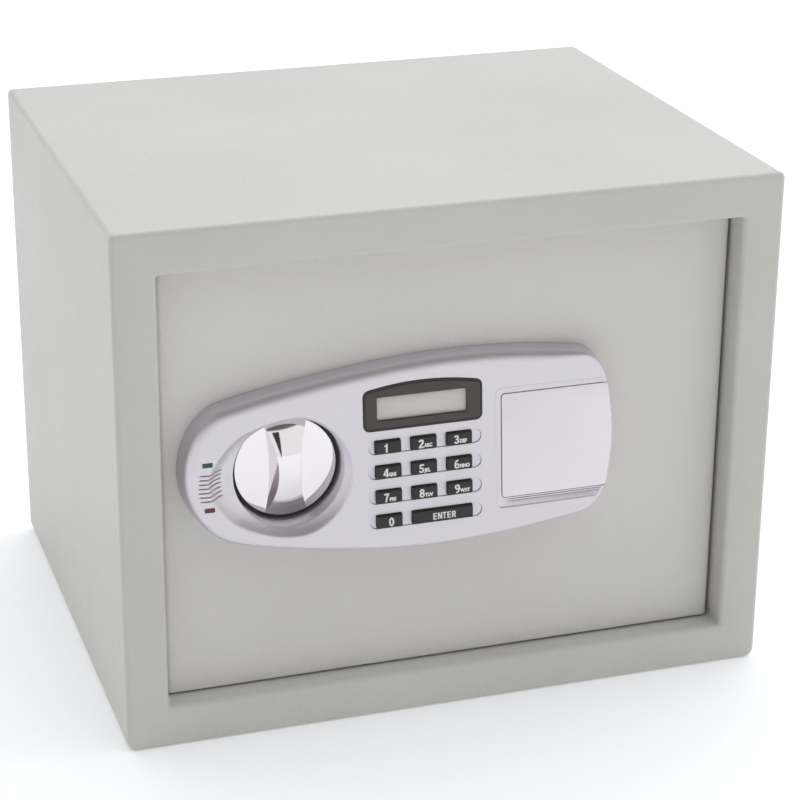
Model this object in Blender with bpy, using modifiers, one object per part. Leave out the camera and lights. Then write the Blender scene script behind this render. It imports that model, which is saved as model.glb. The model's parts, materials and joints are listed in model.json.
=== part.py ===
"""In room safe: a sheet-steel cabinet, a recessed door and an electronic lock with a turn knob.

Metres, +Z up. The origin is the middle of the base, and the front faces -Y. The door is closed and
its bolts are drawn back, so every joint can start from here. "Depth" is measured backwards from the
front plane. Pieces of the control panel's tilted face are placed by across, depth and up on it.
"""

import math

import bmesh
import bpy
from mathutils import Matrix, Vector
from mathutils.geometry import interpolate_bezier

# Cabinet
BODY_W, BODY_D, BODY_H = 0.380, 0.305, 0.300
FRONT = -BODY_D / 2
SHEET = 0.002
FOLD_R = 0.003
FRAME_W = 0.024
JAMB_D = 0.025
GAP = 0.0003
ANCHOR_R = 0.006
ANCHOR_X = 0.100
BACK_ANCHOR_Z = 0.220

# Door
DOOR_GAP = 0.0015
DOOR_DEPTH = 0.014
DOOR_PLATE = 0.003
DOOR_RETURN = 0.026
DOOR_EDGE_R = 0.0035
DOOR_X = BODY_W / 2 - FRAME_W - DOOR_GAP
DOOR_BOTTOM = FRAME_W + DOOR_GAP
DOOR_TOP = BODY_H - FRAME_W - DOOR_GAP
HINGE_X, HINGE_DEPTH = 0.1575, 0.020
PIVOT_R = 0.0025
LOCK_PLATE_BACK = DOOR_DEPTH + DOOR_PLATE + GAP + SHEET
COVER_X = (-0.153, 0.146)
COVER_Z = (0.038, 0.262)
COVER_BACK = 0.050
COVER_WALL = 0.0018

# Bolt work
KNOB_X, KNOB_Z = -0.0958, 0.1566
BOLT_R = 0.008
BOLT_DEPTH = 0.036
BOLT_ZS = {"upper": 0.217, "lower": 0.107}
BOLT_TIP_X = -0.160
BOLT_THROW = 0.016
CRANK_R = BOLT_THROW / math.sqrt(2)
CRANK_PIN_R = 0.0025
CRANK_PLAY = 0.0006
SPINDLE_R = 0.004
CARRIAGE_DEPTH = (0.0252, 0.0277)
PLUNGER_X = -0.062
PLUNGER_R = 0.0025
ARM_Z = 0.175
NOTCH = 0.005

# Control panel: its face leans back by TILT. Its front edge is rounded most along the top and the left.
TILT = math.radians(5)
FACE_DEPTH, FACE_Z = -0.002, 0.160
OVAL_Z = 0.1595
DRAFT = 0.001
TOP_EDGE_R, LOW_EDGE_R, LEFT_EDGE_R, RIGHT_EDGE_R = 0.006, 0.003, 0.0055, 0.0018
WALL = 0.0035
DISH_FLOOR = 0.0036
DISH_SLOPE = 1.0
WELL_R, WELL_DEPTH = 0.0310, 0.0126
KNOB_R = 0.0286
KNOB_FACE = 0.0095
KNOB_TOP = 0.0006
BAR_ARC_R = 0.0499

# Keypad, display and battery bay, on the tilted face
KEY_W, KEY_H, KEY_RISE = 0.0145, 0.0076, 0.0020
KEY_LEFT, KEY_TOP = -0.0408, 0.0060
KEY_PITCH_X, KEY_PITCH_Z = 0.0205, 0.0143
KEY_CLEAR = 0.00035
BEZEL_X, BEZEL_BOTTOM = -0.0203, 0.0157
LCD_X, LCD_Z = -0.0209, 0.0277
LCD_HALF = (0.0258, 0.0065)
BAY_LEFT, BAY_TOP, BAY_BOTTOM = 0.0251, 0.02805, -0.03265
CELL_R, CELL_LENGTH, CELL_PITCH = 0.00725, 0.0505, 0.0149

LOOKS = {
    "body_paint": ((0.70, 0.69, 0.66), 0.55, 0.0),
    "panel_silver": ((0.74, 0.72, 0.78), 0.35, 0.1),
    "chrome": ((0.85, 0.85, 0.86), 0.08, 1.0),
    "key_black": ((0.03, 0.028, 0.027), 0.45, 0.0),
    "gloss_black": ((0.04, 0.032, 0.03), 0.12, 0.0),
    "clear": ((0.75, 0.78, 0.74), 0.05, 0.0),
    "display": ((0.55, 0.57, 0.52), 0.4, 0.0),
    "green_lens": ((0.02, 0.12, 0.04), 0.2, 0.0),
    "red_lens": ((0.25, 0.03, 0.03), 0.2, 0.0),
    "board": ((0.02, 0.20, 0.08), 0.4, 0.0),
    "dark_plastic": ((0.05, 0.05, 0.05), 0.5, 0.0),
    "zinc_steel": ((0.62, 0.62, 0.60), 0.35, 1.0),
    "bolt_steel": ((0.75, 0.75, 0.75), 0.2, 1.0),
    "brass": ((0.70, 0.52, 0.22), 0.3, 1.0),
    "cell_wrap": ((0.08, 0.16, 0.40), 0.35, 0.3),
    "felt": ((0.10, 0.10, 0.11), 0.95, 0.0),
    "red_plastic": ((0.55, 0.05, 0.04), 0.4, 0.0),
}

collections = {}


def start():
    for obj in list(bpy.data.objects):
        bpy.data.objects.remove(obj)
    for name in ("InRoomSafe", "Cutters"):
        collections[name] = bpy.data.collections.new(name)
        bpy.context.scene.collection.children.link(collections[name])


def material(look):
    if look in bpy.data.materials:
        return bpy.data.materials[look]
    colour, roughness, metallic = LOOKS[look]
    made = bpy.data.materials.new(look)
    made.use_nodes = True
    shader = made.node_tree.nodes["Principled BSDF"]
    shader.inputs["Base Color"].default_value = (*colour, 1)
    shader.inputs["Roughness"].default_value = roughness
    shader.inputs["Metallic"].default_value = metallic
    return made


def front(x, depth, z):
    """A point given by its depth behind the front plane."""
    return Vector((x, FRONT + depth, z))


def face_depth(z):
    """Depth of the control panel's tilted face at height z."""
    return FACE_DEPTH + math.tan(TILT) * (z - FACE_Z)


def empty(name, location, parent=None, tilt=0.0):
    obj = bpy.data.objects.new(name, None)
    obj.location = location
    obj.rotation_euler.x = tilt
    collections["InRoomSafe"].objects.link(obj)
    bpy.context.view_layer.update()
    if parent:
        hold(obj, parent)
    return obj


def hold(obj, parent):
    """Parents an object and keeps its place."""
    obj.parent = parent
    obj.matrix_parent_inverse = parent.matrix_world.inverted()


def add(name, bm, look, parent=None, on_face=False):
    """Makes an object of a bmesh. With look None it is a cutter. on_face: its place is on the panel's face."""
    bmesh.ops.recalc_face_normals(bm, faces=bm.faces)
    mesh = bpy.data.meshes.new(name)
    bm.to_mesh(mesh)
    bm.free()
    obj = bpy.data.objects.new(name, mesh)
    collections["InRoomSafe" if look else "Cutters"].objects.link(obj)
    if look:
        mesh.materials.append(material(look))
    else:
        obj.hide_render = True
        obj.display_type = "WIRE"
    if on_face:
        obj.parent = parent
    elif parent:
        hold(obj, parent)
    return obj


def box(name, low, high, look=None, parent=None, on_face=False):
    low, high = Vector(low), Vector(high)
    bm = bmesh.new()
    bmesh.ops.create_cube(bm, size=1, matrix=Matrix.Diagonal((*(high - low), 1)))
    obj = add(name, bm, look, parent, on_face)
    obj.location = (low + high) / 2
    return obj


def cylinder(name, radius, start_at, end_at, look=None, parent=None, on_face=False, steps=24):
    """A round bar between two points on a line along X, Y or Z."""
    start_at, end_at = Vector(start_at), Vector(end_at)
    along = end_at - start_at
    bm = bmesh.new()
    bmesh.ops.create_cone(
        bm, cap_ends=True, segments=steps, radius1=radius, radius2=radius, depth=along.length
    )
    bmesh.ops.rotate(bm, verts=bm.verts, matrix=along.to_track_quat("Z", "Y").to_matrix())
    for face in bm.faces:
        face.smooth = len(face.verts) == 4
    obj = add(name, bm, look, parent, on_face)
    obj.location = (start_at + end_at) / 2
    return obj


def turned(name, profile, location, axis, look, parent=None, ring=False, steps=32):
    """Turns a profile of (radius, height) points, listed down its outer side, about an axis."""
    mesh = bpy.data.meshes.new(name)
    points = [(radius, 0, height) for radius, height in profile]
    edges = [(i, i + 1) for i in range(len(points) - 1)]
    if ring:
        edges.append((len(points) - 1, 0))
    mesh.from_pydata(points, edges, [])
    obj = bpy.data.objects.new(name, mesh)
    collections["InRoomSafe" if look else "Cutters"].objects.link(obj)
    if look:
        mesh.materials.append(material(look))
    else:
        obj.hide_render = True
        obj.display_type = "WIRE"
    obj.location = location
    obj.rotation_euler = Vector(axis).to_track_quat("Z", "Y").to_euler()
    screw = obj.modifiers.new("turn", "SCREW")
    screw.steps = screw.render_steps = steps
    screw.use_merge_vertices = True
    screw.merge_threshold = 1e-5
    screw.use_smooth_shade = True
    bpy.context.view_layer.update()
    if parent:
        hold(obj, parent)
    return obj


def prism(name, outline, low, high, look=None, parent=None, on_face=False, along="Y"):
    """Extrudes an outline of (x, z) points along Y, or of (x, y) points along Z."""
    bm = bmesh.new()
    place = (lambda p, t: (p[0], t, p[1])) if along == "Y" else (lambda p, t: (p[0], p[1], t))
    base = bm.faces.new([bm.verts.new(place(p, low)) for p in outline])
    made = bmesh.ops.extrude_face_region(bm, geom=[base])
    moved = [item for item in made["geom"] if isinstance(item, bmesh.types.BMVert)]
    bmesh.ops.translate(bm, verts=moved, vec=Vector(place((0, 0), high - low)))
    return add(name, bm, look, parent, on_face)


def loft(name, rings, look=None, parent=None, on_face=False):
    """Joins rings of equal length by quads, and closes both ends."""
    bm = bmesh.new()
    rows = [[bm.verts.new(point) for point in ring] for ring in rings]
    count = len(rows[0])
    for row, following in zip(rows, rows[1:]):
        for i in range(count):
            j = (i + 1) % count
            bm.faces.new((row[i], row[j], following[j], following[i])).smooth = True
    bm.faces.new(rows[0])
    bm.faces.new(rows[-1])
    return add(name, bm, look, parent, on_face)


def cut(target, cutter, operation="DIFFERENCE"):
    boolean = target.modifiers.new(cutter.name, "BOOLEAN")
    boolean.operation = operation
    boolean.object = cutter


def joined(target, piece):
    cut(target, piece, "UNION")


def arc(centre, radius, start_deg, end_deg, steps):
    angles = [math.radians(start_deg + (end_deg - start_deg) * i / steps) for i in range(steps + 1)]
    return [(centre[0] + radius * math.cos(a), centre[1] + radius * math.sin(a)) for a in angles]


def pill(centre, half_length, radius, steps=5):
    """A rectangle with round ends, longer along its first axis."""
    x, z = centre
    ends = half_length - radius
    return arc((x + ends, z), radius, -90, 90, steps) + arc((x - ends, z), radius, 90, 270, steps)


def smooth_outline(knots, resolution):
    """A closed outline through Bezier knots, each (point, handle before, handle after)."""
    points = []
    for (knot, _, after), (following, before, _) in zip(knots, knots[1:] + knots[:1]):
        corners = [Vector((*p, 0)) for p in (knot, after, before, following)]
        points += [p.to_2d() for p in interpolate_bezier(*corners, resolution + 1)[:-1]]
    return points


def inset(outline, distance):
    """Moves each point of a clockwise outline inwards by distance(point)."""
    moved = []
    for i, point in enumerate(outline):
        along = (outline[(i + 1) % len(outline)] - outline[i - 1]).normalized()
        moved.append(point + Vector((along.y, -along.x)) * distance(point))
    return moved


def panel_outline():
    """The panel's outline, clockwise from its left tip over the top."""
    knots = [
        ((-0.1555, 0.0), (-0.1555, -0.019), (-0.1555, 0.019)),
        ((-0.1315, 0.0378), (-0.1440, 0.0348), (-0.1080, 0.0436)),
        ((0.0, 0.0540), (-0.0450, 0.0540), (0.0300, 0.0540)),
        ((0.0745, 0.0480), (0.0550, 0.0512), (0.0825, 0.0462)),
        ((0.0900, 0.0290), (0.0876, 0.0385), (0.0915, 0.0200)),
        ((0.0928, 0.0), (0.0928, 0.0100), (0.0928, -0.0100)),
        ((0.0896, -0.0290), (0.0914, -0.0205), (0.0864, -0.0402)),
        ((0.0720, -0.0478), (0.0800, -0.0462), (0.0520, -0.0517)),
        ((-0.0050, -0.0556), (0.0250, -0.0547), (-0.0480, -0.0569)),
        ((-0.1285, -0.0398), (-0.1065, -0.0465), (-0.1430, -0.0362)),
    ]
    return [point + Vector((0, OVAL_Z)) for point in smooth_outline(knots, 7)]


def edge_radius(point):
    """Radius of the panel's front edge at a point of its outline."""
    radius = blend(LOW_EDGE_R, TOP_EDGE_R, (point.y - OVAL_Z + 0.020) / 0.040)
    radius = blend(radius, RIGHT_EDGE_R, (point.x - 0.050) / 0.036)
    return blend(LEFT_EDGE_R, radius, (point.x + 0.150) / 0.030)


def blend(start_at, end_at, share):
    share = min(max(share, 0), 1)
    return start_at + (end_at - start_at) * share * share * (3 - 2 * share)


def dish_outline():
    """The knob's dish, where it meets the tilted face: a drop with its round nose to the left."""
    knots = [
        ((-0.1418, -0.0040), (-0.1418, -0.0110), (-0.1418, 0.0030)),
        ((-0.1200, 0.0227), (-0.1310, 0.0185), (-0.1100, 0.0262)),
        ((-0.0920, 0.0283), (-0.1010, 0.0283), (-0.0780, 0.0283)),
        ((-0.0605, -0.0055), (-0.0605, 0.0120), (-0.0605, -0.0230)),
        ((-0.0920, -0.0393), (-0.0760, -0.0393), (-0.1060, -0.0393)),
        ((-0.1250, -0.0298), (-0.1150, -0.0348), (-0.1340, -0.0245)),
    ]
    outline = smooth_outline(knots, 7)
    return [Vector((p.x, FACE_Z + p.y * math.cos(TILT))) for p in outline]


def flat_ring(outline, depth):
    return [front(p.x, depth, p.y) for p in outline]


def face_ring(outline, behind):
    """A ring parallel to the tilted face, this far behind it."""
    return [front(p.x, face_depth(p.y) + behind, p.y) for p in outline]


def panel_body(name, look=None, parent=None):
    """The control panel's outer shape, closed: drafted sides and a rounded front edge."""
    outline = panel_outline()
    rings = [flat_ring(outline, DOOR_DEPTH - GAP)]
    for degrees in (0, 30, 60, 90):
        turn = math.radians(degrees)
        moved = inset(outline, lambda p: DRAFT + edge_radius(p) * (1 - math.cos(turn)))
        depths = [face_depth(m.y) + edge_radius(p) * (1 - math.sin(turn)) for p, m in zip(outline, moved)]
        rings.append([front(m.x, depth, m.y) for m, depth in zip(moved, depths)])
    return loft(name, rings, look, parent)


def dish_cutter(name, wider, floor):
    """The dish as a cutter: its sides slope, and its floor is upright although the face leans."""
    outline = dish_outline()
    rings = []
    for depth in (-0.020, floor):
        ring = inset(outline, lambda p: DISH_SLOPE * (depth - face_depth(p.y)) - wider)
        rings.append(flat_ring(ring, depth))
    return loft(name, rings)


def cabinet():
    shell = box("cabinet_shell", front(-BODY_W / 2, 0, 0), front(BODY_W / 2, BODY_D, BODY_H), "body_paint")
    fold = shell.modifiers.new("fold", "BEVEL")
    fold.width = FOLD_R
    fold.segments = 3
    inner_x, inner_top = BODY_W / 2 - SHEET, BODY_H - SHEET
    cut(shell, box("cavity", front(-inner_x, SHEET, SHEET), front(inner_x, BODY_D + 0.01, inner_top)))
    jamb_x = BODY_W / 2 - FRAME_W
    jamb_top = BODY_H - FRAME_W
    ring = box(
        "jamb_ring",
        front(-jamb_x - SHEET, SHEET / 2, FRAME_W - SHEET),
        front(jamb_x + SHEET, JAMB_D, jamb_top + SHEET),
    )
    joined(shell, ring)
    cut(shell, box("doorway", front(-jamb_x, -0.01, FRAME_W), front(jamb_x, JAMB_D + 0.01, jamb_top)))
    pivot_hole = cylinder(
        "pivot_hole", PIVOT_R + 0.0007, front(HINGE_X, HINGE_DEPTH, 0.010), front(HINGE_X, HINGE_DEPTH, 0.290)
    )
    cut(shell, pivot_hole)
    for side in (-1, 1):
        at = side * ANCHOR_X
        cut(shell, cylinder("base_anchor_hole", ANCHOR_R, (at, 0, -0.01), (at, 0, 0.01)))
        name = "base_plug_left" if side < 0 else "base_plug_right"
        cylinder(name, ANCHOR_R - GAP, (at, 0, 0.0002), (at, 0, SHEET - 0.0002), "dark_plastic", steps=16)

    back = box(
        "back_panel",
        front(-inner_x + GAP, BODY_D - SHEET, SHEET + GAP),
        front(inner_x - GAP, BODY_D, inner_top - GAP),
        "body_paint",
    )
    for side in (-1, 1):
        name = "back_plug_left" if side < 0 else "back_plug_right"
        centre = front(side * ANCHOR_X, BODY_D, BACK_ANCHOR_Z)
        cut(back, cylinder("back_anchor_hole", ANCHOR_R, centre - Vector((0, 0.01, 0)), centre + Vector((0, 0.01, 0))))
        head = [
            (0, -0.0002),
            (ANCHOR_R - GAP, -0.0002),
            (ANCHOR_R - GAP, -SHEET - GAP),
            (ANCHOR_R + 0.002, -SHEET - GAP),
            (ANCHOR_R + 0.002, -SHEET - 0.0015),
            (0, -SHEET - 0.0015),
        ]
        turned(name, head, centre, (0, 1, 0), "dark_plastic", steps=16)

    box("floor_mat", front(-0.184, 0.030, SHEET + GAP), front(0.184, 0.300, SHEET + 0.0028), "felt")
    for name, low, high in (("upper", 0.2783, 0.2840), ("lower", 0.0160, 0.0217)):
        inner, outer = PIVOT_R + 0.0004, 0.006
        profile = [(inner, high), (outer, high), (outer, low), (inner, low)]
        location = front(HINGE_X, HINGE_DEPTH, 0)
        turned("hinge_bush_" + name, profile, location, (0, 0, 1), "brass", ring=True, steps=20)
    for name, low in (("upper", 0.236), ("lower", 0.048)):
        tab = [(-0.172, 0.0253), (-0.1663, 0.0253), (-0.1663, 0.0263), (-0.159, 0.0263), (-0.159, 0.0288), (-0.172, 0.0288)]
        outline = [(x, FRONT + depth) for x, depth in tab]
        prism("door_stop_" + name, outline, low, low + 0.024, "zinc_steel", along="Z")


def door(axis):
    panel = box("door_panel", front(-DOOR_X, DOOR_DEPTH, DOOR_BOTTOM), front(DOOR_X, DOOR_RETURN, DOOR_TOP), "body_paint", axis)
    round_upright_front_edges(panel)
    plate_back = DOOR_DEPTH + DOOR_PLATE
    inner_x = DOOR_X - DOOR_PLATE
    cut(panel, box("door_channel", front(-inner_x, plate_back, 0), front(inner_x, 0.04, BODY_H)))
    spindle_hole = cylinder("spindle_hole", 0.006, front(KNOB_X, 0, KNOB_Z), front(KNOB_X, 0.022, KNOB_Z))
    battery_hole = box("battery_hole", front(0.0237, 0.008, 0.122), front(0.0804, 0.030, 0.192))
    cut(panel, spindle_hole)
    cut(panel, battery_hole)
    cut(panel, cylinder("wire_hole", 0.006, front(-0.020, 0.010, 0.130), front(-0.020, 0.022, 0.130)))

    for name, end, low, high in (("upper", 0.283, 0.268, 0.272), ("lower", 0.017, 0.028, 0.032)):
        bracket = box("door_pivot_" + name, front(0.120, plate_back + GAP, low), front(0.1608, 0.0255, high), "zinc_steel", axis)
        middle = (low + high) / 2
        pin = cylinder("pivot_pin_" + name, PIVOT_R, front(HINGE_X, HINGE_DEPTH, middle), front(HINGE_X, HINGE_DEPTH, end))
        joined(bracket, pin)

    lock_plate = box("lock_plate", front(-0.158, plate_back + GAP, 0.040), front(0.144, LOCK_PLATE_BACK, 0.260), "zinc_steel", axis)
    cut(lock_plate, spindle_hole)
    cut(lock_plate, battery_hole)

    back_x, foot = 0.150, plate_back + GAP
    angle = [
        (0.147, foot),
        (0.1605, foot),
        (0.1605, foot + 0.003),
        (back_x + 0.003, foot + 0.003),
        (back_x + 0.003, 0.033),
        (0.174, 0.033),
        (0.174, 0.036),
        (back_x, 0.036),
        (back_x, foot + 0.003),
        (0.147, foot + 0.003),
    ]
    prism("hinge_side_deadbar", [(x, FRONT + d) for x, d in angle], 0.060, 0.240, "zinc_steel", axis, along="Z")

    for name, z in BOLT_ZS.items():
        guide = box("bolt_guide_" + name, front(-0.149, LOCK_PLATE_BACK + GAP, z - 0.0115), front(-0.135, 0.0468, z + 0.0115), "zinc_steel", axis)
        cut(guide, cylinder("guide_bore_" + name, BOLT_R + 0.00035, front(-0.160, BOLT_DEPTH, z), front(-0.120, BOLT_DEPTH, z)))


def round_upright_front_edges(panel):
    """Bevels the two upright front edges, as a sheet is folded there."""
    weights = panel.data.attributes.new("bevel_weight_edge", "FLOAT", "EDGE")
    for edge in panel.data.edges:
        a, b = (panel.data.vertices[i].co for i in edge.vertices)
        upright = abs(a.z - b.z) > abs(a.x - b.x) + abs(a.y - b.y)
        weights.data[edge.index].value = 1.0 if upright and a.y < 0 else 0.0
    fold = panel.modifiers.new("fold", "BEVEL")
    fold.limit_method = "WEIGHT"
    fold.width = DOOR_EDGE_R
    fold.segments = 4


def inner_door_cover(axis):
    low = front(COVER_X[0], DOOR_RETURN + GAP, COVER_Z[0])
    high = front(COVER_X[1], COVER_BACK, COVER_Z[1])
    wall = Vector((COVER_WALL, COVER_WALL, COVER_WALL))
    cover = box("inner_door_cover", low, high, "dark_plastic", axis)
    hollow_low = low + wall
    hollow_low.y = low.y - 0.01
    cut(cover, box("cover_hollow", hollow_low, high - wall))
    for name, z in BOLT_ZS.items():
        cut(cover, cylinder("cover_bolt_hole_" + name, BOLT_R + 0.0007, front(-0.16, BOLT_DEPTH, z), front(-0.14, BOLT_DEPTH, z)))
    reset_x, reset_z = 0.110, 0.070
    cut(cover, cylinder("reset_hole", 0.0045, front(reset_x, 0.04, reset_z), front(reset_x, 0.06, reset_z), steps=16))
    cylinder("reset_button", 0.004, front(reset_x, 0.044, reset_z), front(reset_x, 0.0522, reset_z), "red_plastic", axis, steps=16)

    corners = [(x, z) for z in (0.050, 0.250) for x in (-0.120, 0.134)]
    for number, (x, z) in enumerate(corners, 1):
        cut(cover, cylinder(f"screw_hole_{number}", 0.0020, front(x, 0.04, z), front(x, 0.06, z), steps=12))
        screw = [(0, 0.0021), (0.0030, 0.0018), (0.0038, GAP), (0.0015, GAP), (0.0015, -0.0300), (0, -0.0300)]
        turned(f"cover_screw_{number}", screw, front(x, COVER_BACK, z), (0, 1, 0), "zinc_steel", axis, steps=12)


def knob(axis):
    """Turn knob: a thin disc with an arched, waisted grip across it, on a spindle with a crank."""
    disc = [
        (0, -KNOB_FACE),
        (KNOB_R, -KNOB_FACE),
        (KNOB_R, -KNOB_FACE - 0.0012),
        (0.0245, -0.0120),
        (0.0130, -0.0120),
        (0.0130, -0.0136),
        (0, -0.0136),
    ]
    centre = front(KNOB_X, 0, KNOB_Z)
    body = turned("knob", disc, centre, (0, -1, 0), "chrome", axis, steps=40)

    arch = [(0, -KNOB_TOP)]
    for i in range(1, 7):
        radius = (KNOB_R - 0.0003) * i / 6
        arch.append((radius, -KNOB_TOP - BAR_ARC_R + math.sqrt(BAR_ARC_R**2 - radius**2)))
    arch += [(KNOB_R - 0.0003, -KNOB_FACE - 0.0007), (0, -KNOB_FACE - 0.0007)]
    dome = turned("grip_dome", arch, centre, (0, -1, 0), None, steps=40)
    reach, waist, flare = 0.030, 0.0060, 0.0142
    bulge_r = (reach**2 + (flare - waist) ** 2) / (2 * (flare - waist))
    turn = math.degrees(math.asin(reach / bulge_r))
    right = arc((KNOB_X + waist + bulge_r, KNOB_Z), bulge_r, 180 + turn, 180 - turn, 12)
    left = arc((KNOB_X - waist - bulge_r, KNOB_Z), bulge_r, turn, -turn, 12)
    waisted = prism("grip_outline", right + left, FRONT - 0.03, FRONT + 0.01)
    cut(dome, waisted, "INTERSECT")
    joined(body, dome)
    cut(body, cylinder("knob_bore", SPINDLE_R + GAP, front(KNOB_X, 0.0050, KNOB_Z), front(KNOB_X, 0.0145, KNOB_Z)))

    cylinder("knob_spindle", SPINDLE_R, front(KNOB_X, 0.0053, KNOB_Z), front(KNOB_X, 0.0240, KNOB_Z), "zinc_steel", axis)
    crank_x, crank_z = CRANK_R * math.sin(math.pi / 4), -CRANK_R * math.cos(math.pi / 4)
    middle = front(KNOB_X + crank_x / 2, 0.0218, KNOB_Z + crank_z / 2)
    cam = prism("crank_cam", pill((0, 0), CRANK_R / 2 + 0.007, 0.007, 8), -0.002, 0.002, "zinc_steel")
    cam.location = middle
    cam.rotation_euler.y = math.radians(45)
    bpy.context.view_layer.update()
    hold(cam, axis)
    cut(cam, cylinder("cam_bore", SPINDLE_R + GAP, front(KNOB_X, 0.015, KNOB_Z), front(KNOB_X, 0.030, KNOB_Z)))
    pin_at = (KNOB_X + crank_x, KNOB_Z + crank_z)
    joined(cam, cylinder("crank_pin", CRANK_PIN_R, front(pin_at[0], 0.0225, pin_at[1]), front(pin_at[0], 0.0282, pin_at[1]), steps=16))


def bolt_work(axis):
    """The carriage that the crank slides, its two bolts, and the solenoid that blocks it."""
    left, right, tail = -0.118, -0.078, -0.038
    half_notch = PLUNGER_R + 0.0007
    lower_edge = [(right, ARM_Z)]
    for notch_x in (PLUNGER_X, PLUNGER_X + BOLT_THROW):
        lower_edge += [
            (notch_x - half_notch, ARM_Z),
            (notch_x - half_notch, ARM_Z + NOTCH),
            (notch_x + half_notch, ARM_Z + NOTCH),
            (notch_x + half_notch, ARM_Z),
        ]
    arm_top = ARM_Z + 0.012
    outline = [(left, 0.095), (right, 0.095), *lower_edge, (tail, ARM_Z), (tail, arm_top), (right, arm_top)]
    outline += [(right, 0.229), (left, 0.229)]
    carriage = prism("bolt_carriage", outline, FRONT + CARRIAGE_DEPTH[0], FRONT + CARRIAGE_DEPTH[1], "zinc_steel", axis)
    slot_r = CRANK_PIN_R + CRANK_PLAY
    low, high = KNOB_Z - CRANK_R - slot_r, KNOB_Z - CRANK_R / math.sqrt(2) + slot_r
    slot_x = KNOB_X + CRANK_R / math.sqrt(2)
    slot = arc((slot_x, high - slot_r), slot_r, 0, 180, 6) + arc((slot_x, low + slot_r), slot_r, 180, 360, 6)
    cut(carriage, prism("crank_slot", slot, FRONT + 0.02, FRONT + 0.03))

    for name, z in BOLT_ZS.items():
        length = 0.078
        profile = [(0, length), (BOLT_R - 0.0015, length), (BOLT_R, length - 0.0015), (BOLT_R, 0), (0, 0)]
        tip = front(BOLT_TIP_X + length, BOLT_DEPTH, z)
        turned("bolt_" + name, profile, tip, (-1, 0, 0), "bolt_steel", axis, steps=28)

    depth = sum(CARRIAGE_DEPTH) / 2
    solenoid = box("solenoid_body", front(PLUNGER_X - 0.010, LOCK_PLATE_BACK + GAP, 0.138), front(PLUNGER_X + 0.010, 0.0333, 0.168), "zinc_steel", axis)
    cut(solenoid, cylinder("solenoid_bore", PLUNGER_R + 0.0007, front(PLUNGER_X, depth, 0.144), front(PLUNGER_X, depth, 0.175)))
    cylinder("solenoid_plunger", PLUNGER_R, front(PLUNGER_X, depth, 0.145), front(PLUNGER_X, depth, 0.1742), "bolt_steel", axis, steps=16)


def panel_housing(axis, face):
    housing = panel_body("panel_housing", "panel_silver", axis)
    outline = panel_outline()
    hollow = loft(
        "panel_hollow",
        [
            flat_ring(inset(outline, lambda p: 0.0025), 0.017),
            face_ring(inset(outline, lambda p: DRAFT + 0.0025), TOP_EDGE_R + 0.001),
            face_ring(inset(outline, lambda p: DRAFT + 0.0050), WALL),
        ],
    )
    cut(hollow, dish_cutter("dish_backing", 0.003, DISH_FLOOR + 0.003))
    backing = cylinder("well_backing", WELL_R + 0.0022, front(KNOB_X, -0.010, KNOB_Z), front(KNOB_X, 0.0138, KNOB_Z))
    cut(hollow, backing)
    cut(housing, hollow)
    cut(housing, dish_cutter("dish", 0, DISH_FLOOR))
    cut(housing, cylinder("knob_well", WELL_R, front(KNOB_X, -0.010, KNOB_Z), front(KNOB_X, WELL_DEPTH, KNOB_Z), steps=48))
    cut(housing, cylinder("hub_hole", 0.015, front(KNOB_X, 0, KNOB_Z), front(KNOB_X, 0.016, KNOB_Z)))

    on_face = dict(parent=face, on_face=True)
    low_v, high_v = BAY_BOTTOM + 0.00145, BAY_TOP - 0.00145
    cut(housing, box("cover_rebate", (BAY_LEFT, -0.005, BAY_BOTTOM), (0.100, 0.0023, BAY_TOP), **on_face))
    cut(housing, box("battery_opening", (0.0266, -0.005, low_v), (0.100, 0.030, high_v), **on_face))
    cut(housing, prism("bezel_pocket", bezel_outline(GAP), -0.005, 0.0015, **on_face))
    half_u, half_v = LCD_HALF
    window = box("display_opening", (LCD_X - half_u - 0.001, -0.005, LCD_Z - half_v - 0.001), (LCD_X + half_u + 0.001, 0.01, LCD_Z + half_v + 0.001), **on_face)
    cut(housing, window)
    for name, (u, v), half in lights():
        hole = box(name + "_hole", (u - half[0] - GAP, -0.005, v - half[1] - GAP), (u + half[0] + GAP, 0.015, v + half[1] + GAP), **on_face)
        cut(housing, hole)
        box(name, (u - half[0], -0.0001, v - half[1]), (u + half[0], 0.008, v + half[1]), name.replace("led", "lens"), **on_face)
    for row in range(4):
        v = KEY_TOP - row * KEY_PITCH_Z
        groove = pill((KEY_LEFT + KEY_PITCH_X, v), 0.033, KEY_H / 2 + 0.0001, 6)
        cut(housing, prism(f"key_groove_{row}", groove, -0.005, 0.0006, **on_face))
    for name, (u, v), half in keys():
        low = (u - half[0] - KEY_CLEAR, -0.005, v - half[1] - KEY_CLEAR)
        high = (u + half[0] + KEY_CLEAR, 0.010, v + half[1] + KEY_CLEAR)
        cut(housing, box(name + "_hole", low, high, **on_face))


def lights():
    """(name, middle, half size) of the status lights."""
    half = (0.0027, 0.00135)
    return [("green_led", (-0.1418, 0.0077), half), ("red_led", (-0.1415, -0.0179), half)]


def keys():
    """(name, middle, half size) of each key: three columns, then 0 and the wide enter key."""
    half = (KEY_W / 2, KEY_H / 2)
    made = []
    for digit in range(1, 10):
        column, row = (digit - 1) % 3, (digit - 1) // 3
        middle = (KEY_LEFT + column * KEY_PITCH_X, KEY_TOP - row * KEY_PITCH_Z)
        made.append((f"key_{digit}", middle, half))
    last = KEY_TOP - 3 * KEY_PITCH_Z
    made.append(("key_0", (KEY_LEFT, last), half))
    made.append(("key_enter", (KEY_LEFT + 1.5 * KEY_PITCH_X, last), (half[0] + KEY_PITCH_X / 2, half[1])))
    return made


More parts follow.
